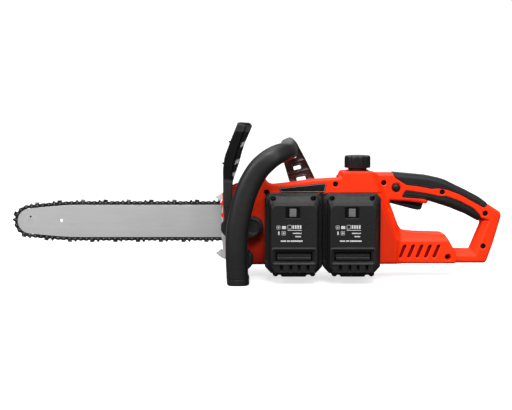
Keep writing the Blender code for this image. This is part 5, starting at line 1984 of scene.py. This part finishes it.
def lock_knob():
    """A nine-lobed knob with a winged grip."""
    stud_x, stud_z = STUD
    field = Field((-21, 57, 61), (31, 78, 113), grid(0.55))
    x, y, z = field.axes()
    angle = np.arctan2(z - stud_z, x - stud_x)
    radius = np.sqrt((x - stud_x) ** 2 + (z - stud_z) ** 2)
    body = slab(radius - (23.2 + 0.8 * np.cos(9 * angle)), y, 58.4, 66, 1.8)
    body = carve(body, common(radius - 18.6, 65 - y), 0.8)
    wing = box(x, z, stud_x - 20, stud_x + 20, stud_z - 5, stud_z + 5, 3)
    arch = np.sqrt((x - stud_x) ** 2 * 0.7 + (y - 82) ** 2) - 10
    body = union(body, carve(slab(wing, y, 60, 76, 2.2), arch, 2), 1.5)
    for side in (-1, 1):
        for i in range(4):
            across = band(x, stud_x + side * (8.5 + 2.6 * i), 0.5)
            groove = common(across, np.abs(np.abs(z - stud_z) - 5) - 0.7, 67.5 - y)
            body = carve(body, groove, 0.3)
    body = carve(body, common(radius - 4.3, y - 66.9))
    obj = field.fill(body).mesh("locking_knob", BLACK, 30000)
    register(obj, "knob", "lock_knob")


# radius, y, and how far the flutes show at that radius
DIAL_PROFILE = [
    (25.2, 58.4, 0), (32, 58.4, 0.6), (32.5, 58.9, 1), (32.5, 62.3, 1), (32, 63.2, 0.8),
    (31.2, 64, 0.3), (30.2, 64.2, 0), (27, 64.2, 0), (26.2, 64, 0), (25.2, 63.2, 0),
]


def tension_dial():
    build = Build()
    angles = [2 * math.pi * i / 288 for i in range(288)]
    rings = []
    for radius, y, fluted in DIAL_PROFILE:
        ring = []
        for angle in angles:
            reach = radius - max(0, math.cos(angle * 48)) * 0.9 * fluted
            x, z = STUD[0] + reach * math.cos(angle), STUD[1] + reach * math.sin(angle)
            ring.append((x, y, z))
        rings.append(ring)
    build.rings(rings, closed=True)
    # a row of dots that grow round the dial
    for i in range(20):
        angle = math.radians(-60 + i * 9)
        center = (STUD[0] + 28.6 * math.cos(angle), STUD[1] + 28.6 * math.sin(angle))
        dot = circle(center, 0.25 + 0.05 * i, 12)
        prism(build, dot, 63.9, 64.35, high_edge=0.1, steps=1)
    obj = build.done("dial_ring", CAP, sharp=38)
    register(obj, "dial", "tension_dial")


# ================================================================ bumper spikes and red lip
SPIKES = [
    (-24.6, 24, 0), (-30.5, 27, 3), (-40.5, 34.5, 0.8), (-31.5, 41, 3), (-29, 50, 6),
    (-30.4, 64, 8), (-29, 80, 6), (-30.4, 96, 8), (-29, 112, 6), (-31.5, 121, 3),
    (-40.8, 128.4, 0.8), (-30, 134.5, 3), (-27, 137, 1), (-24.6, 138, 0),
]
FOLD = [
    (-22, 84, 0.5), (-26.6, 84, 1), (-28.8, 78, 4), (-27.6, 66, 6), (-26.6, 58, 6),
    (-26.4, 33, 1), (-22, 31, 1),
]
LIP = [
    (-21.6, 85), (-24.6, 85.5), (-25.4, 89), (-26, 98), (-28.6, 100.8), (-29.1, 103.2),
    (-26.4, 107), (-26.4, 116), (-28.2, 118.8), (-29.8, 121.8), (-28, 124.8), (-26.8, 127),
    (-26.8, 137.4), (-25.4, 139), (-21.6, 139),
]


def bumper():
    """A toothed plate, a flange across the front with four bolts, and a fold at the -Y corner."""
    spikes = plate("bumper_plate", fillet(SPIKES, step=20), [], 19.6, 21.8, PLATED)
    build = Build()
    flange = fillet([(33, -22), (134, -22), (134, 20.3), (33, 20.3)], 3)  # z, y
    layers = [(-19.9, flange), (-26.5, flange), (-26.8, inset(flange, 0.3))]
    build.rings([[(x, y, z) for z, y in outline] for x, outline in layers])
    for bolt_z in (46, 121):
        for bolt_y in (-14, 10):
            angles = [math.radians(60 * i) for i in range(6)]
            hexagon = [(bolt_y + 4 * math.cos(a), bolt_z + 4 * math.sin(a)) for a in angles]
            top = [(y * 0.94 + bolt_y * 0.06, z * 0.94 + bolt_z * 0.06) for y, z in hexagon]
            layers = [(-26.7, hexagon), (-29.6, hexagon), (-30.1, top)]
            build.rings([[(x, y, z) for y, z in outline] for x, outline in layers])
    fold = plate("bumper_fold", fillet(FOLD, step=20), [], -25.2, -23.4, PLATED)
    front = build.done("bumper_flange", PLATED, sharp=30)
    obj = joined("bumper_plate", [spikes, front, fold])
    register(obj, "housing", "bumper_spikes")


def front_lip():
    """A red lip with two fingers over the -Y edge of the bumper, beside the guard."""
    obj = plate("front_lip", fillet(LIP, 0.6, step=30), [], -25.4, -22.6, RED, bevel=0.4)
    register(obj, "housing")


# ================================================================ CAD nodes that stay
FINISH = {
    BLACK: ["battery_dock", "motor_fan", "oil_pump", "switch_body"],
    BRASS: ["terminal_comb_1", "terminal_comb_2"],
    STEEL: [
        "guard_shaft", "bar_stud", "outer_bearing", "inner_bearing", "motor_rotor",
        "motor_pinion", "output_gear", "output_shaft", "tension_pin",
    ],
    ALU: ["bar_plate", "gear_case"],
    DARK: ["brake_band", "brake_drum", "drive_sprocket", "nose_sprocket"],
    COPPER: ["motor_stator"],
    BAR: ["nose_rivet"],
    TANK: ["oil_tank"],
    RUBBER: ["oil_hose", "oil_cap_seal"],
    BOARD: ["controller_board"],
    SLEEVE: ["pack1_cells", "pack2_cells"],
}
# bevel widths, where they are not 0.2
BEVELS = {
    "battery_dock": 0.8, "oil_tank": 1.6, "bar_plate": 0.5, "gear_case": 0.6,
    "switch_body": 0.6, "pack1_cells": 1.5, "pack2_cells": 1.5, "oil_pump": 0.6,
}


def finish_cad_nodes():
    for material, names in FINISH.items():
        for name in names:
            obj = NODES[name]
            obj.data.materials.clear()
            obj.data.materials.append(material)
            set_slots(obj, np.zeros(len(obj.data.polygons)))
            mod = obj.modifiers.new("edges", "BEVEL")
            mod.width = BEVELS.get(name, 0.2) * MM
            mod.segments = 2
            mod.limit_method = "ANGLE"
            mod.angle_limit = math.radians(40)
            mod.harden_normals = False


# ================================================================ floor, light and camera
def studio_paper():
    """Bright paper to the eye, and a duller bounce for everything standing on it."""
    mat = Shader("studio_paper")
    cloud = mat.noise(3, detail=2)
    eye = mat.node("ShaderNodeLightPath").outputs["Is Camera Ray"]
    paper = mat.blend(grey(0.55), grey(0.57), by=cloud)
    return mat.finish(
        mat.mix(eye, grey(0.09), paper), 0.95, Specular_IOR_Level=0,
        Emission_Color=grey(1), Emission_Strength=mat.math("MULTIPLY", eye, 0.70),
    )


def studio():
    """A pale sweep: floor, curved corner and wall in one sheet."""
    bend_y, bend = 1500, 1200
    profile = [(-4000, 0), (bend_y, 0)]  # y, z
    for i in range(13):
        angle = math.radians(90 * i / 12)
        profile.append((bend_y + bend * math.sin(angle), bend - bend * math.cos(angle)))
    profile.append((bend_y + bend, 6000))
    points = [(x, y, z - 0.2) for y, z in profile for x in (-6000, 6000)]
    faces = [(i, i + 1, i + 3, i + 2) for i in range(0, 2 * len(profile) - 2, 2)]
    paper = studio_paper()
    mesh = bpy.data.meshes.new("studio_floor")
    mesh.from_pydata((np.asarray(points, F32) * F32(MM)).tolist(), [], faces)
    mesh.update()
    place("studio_floor", mesh, paper, sharp=60)


# name, place, target and size in metres, power in watts
LAMPS = [
    ("over", (-0.1, -0.35, 1.5), (0, -0.05, 0.1), (2.2, 1), 22),
    ("key", (0.12, -2.1, 1.6), (0.02, 0, 0.1), (0.9, 0.7), 42),
    ("fill", (1.15, -2.3, 1.3), (0.05, 0, 0.12), (0.8, 0.8), 12),
    ("left", (-1.3, -1.9, 1.2), (0, 0, 0.12), (0.8, 0.8), 24),
    ("back", (0.2, 1.5, 1.3), (0, 0, 0.1), (2.2, 0.9), 12),
]


def lamps():
    for name, spot, target, size, power in LAMPS:
        light = bpy.data.lights.new(name, "AREA")
        light.shape = "RECTANGLE"
        light.size, light.size_y = size
        light.energy = power
        light.spread = math.radians(180)
        obj = bpy.data.objects.new(name, light)
        bpy.context.scene.collection.objects.link(obj)
        obj.location = spot
        obj.rotation_mode = "QUATERNION"
        obj.rotation_quaternion = (Vector(target) - Vector(spot)).to_track_quat("-Z", "Y")


def room():
    """Bright overhead, dim at the height of the saw, near white to the camera."""
    world = bpy.data.worlds.new("studio")
    bpy.context.scene.world = world
    world.use_nodes = True
    nodes = world.node_tree.nodes
    background = nodes["Background"]
    height = nodes.new("ShaderNodeSeparateXYZ")
    feed(height.inputs[0], nodes.new("ShaderNodeTexCoord").outputs["Generated"])
    ramp = nodes.new("ShaderNodeValToRGB")
    feed(ramp.inputs[0], height.outputs[2])
    stops = ramp.color_ramp.elements
    stops[0].position, stops[0].color = 0, (*grey(0.03), 1)
    stops[1].position, stops[1].color = 1, (*grey(0.9), 1)
    stops.new(0.3).color = (*grey(0.06), 1)
    seen = nodes.new("ShaderNodeMix")
    seen.data_type = "RGBA"
    feed(seen.inputs[0], nodes.new("ShaderNodeLightPath").outputs["Is Camera Ray"])
    feed(seen.inputs[6], ramp.outputs[0])
    feed(seen.inputs[7], grey(0.97))
    feed(background.inputs[0], seen.outputs[2])
    background.inputs[1].default_value = 1


def camera():
    lens = bpy.data.cameras.new("camera")
    obj = bpy.data.objects.new("camera", lens)
    scene = bpy.context.scene
    scene.collection.objects.link(obj)
    lens.sensor_width = 36
    lens.lens = 64.9
    obj.location = (0.027, -1.5, 0.2548)
    obj.rotation_euler = (math.radians(90.0 - 5.27), 0, 0)
    lens.clip_start, lens.clip_end = 0.05, 60
    scene.camera = obj
    scene.view_settings.view_transform = "Standard"
    scene.view_settings.look = "None"


# ================================================================ the whole saw
near_housing()
far_housing()
soft_grip("upper_grip_skin", UPPER_GRIP, SOFT, 1.5, trigger_way=False, node="upper_grip")
soft_grip("lower_grip_skin", LOWER_GRIP, SOFT_SHADED, 1.2, trigger_way=True, node="lower_grip")
housing_screws()
front_handle()
hand_guard()
guard_stops()
battery_packs()
badge()
oil_cap()
filler_collar()
trigger()
lock_off_button()
guide_bar()
saw_chain()
sprocket_cover()
lock_knob()
tension_dial()
bumper()
front_lip()
finish_cad_nodes()
studio()
lamps()
room()
camera()
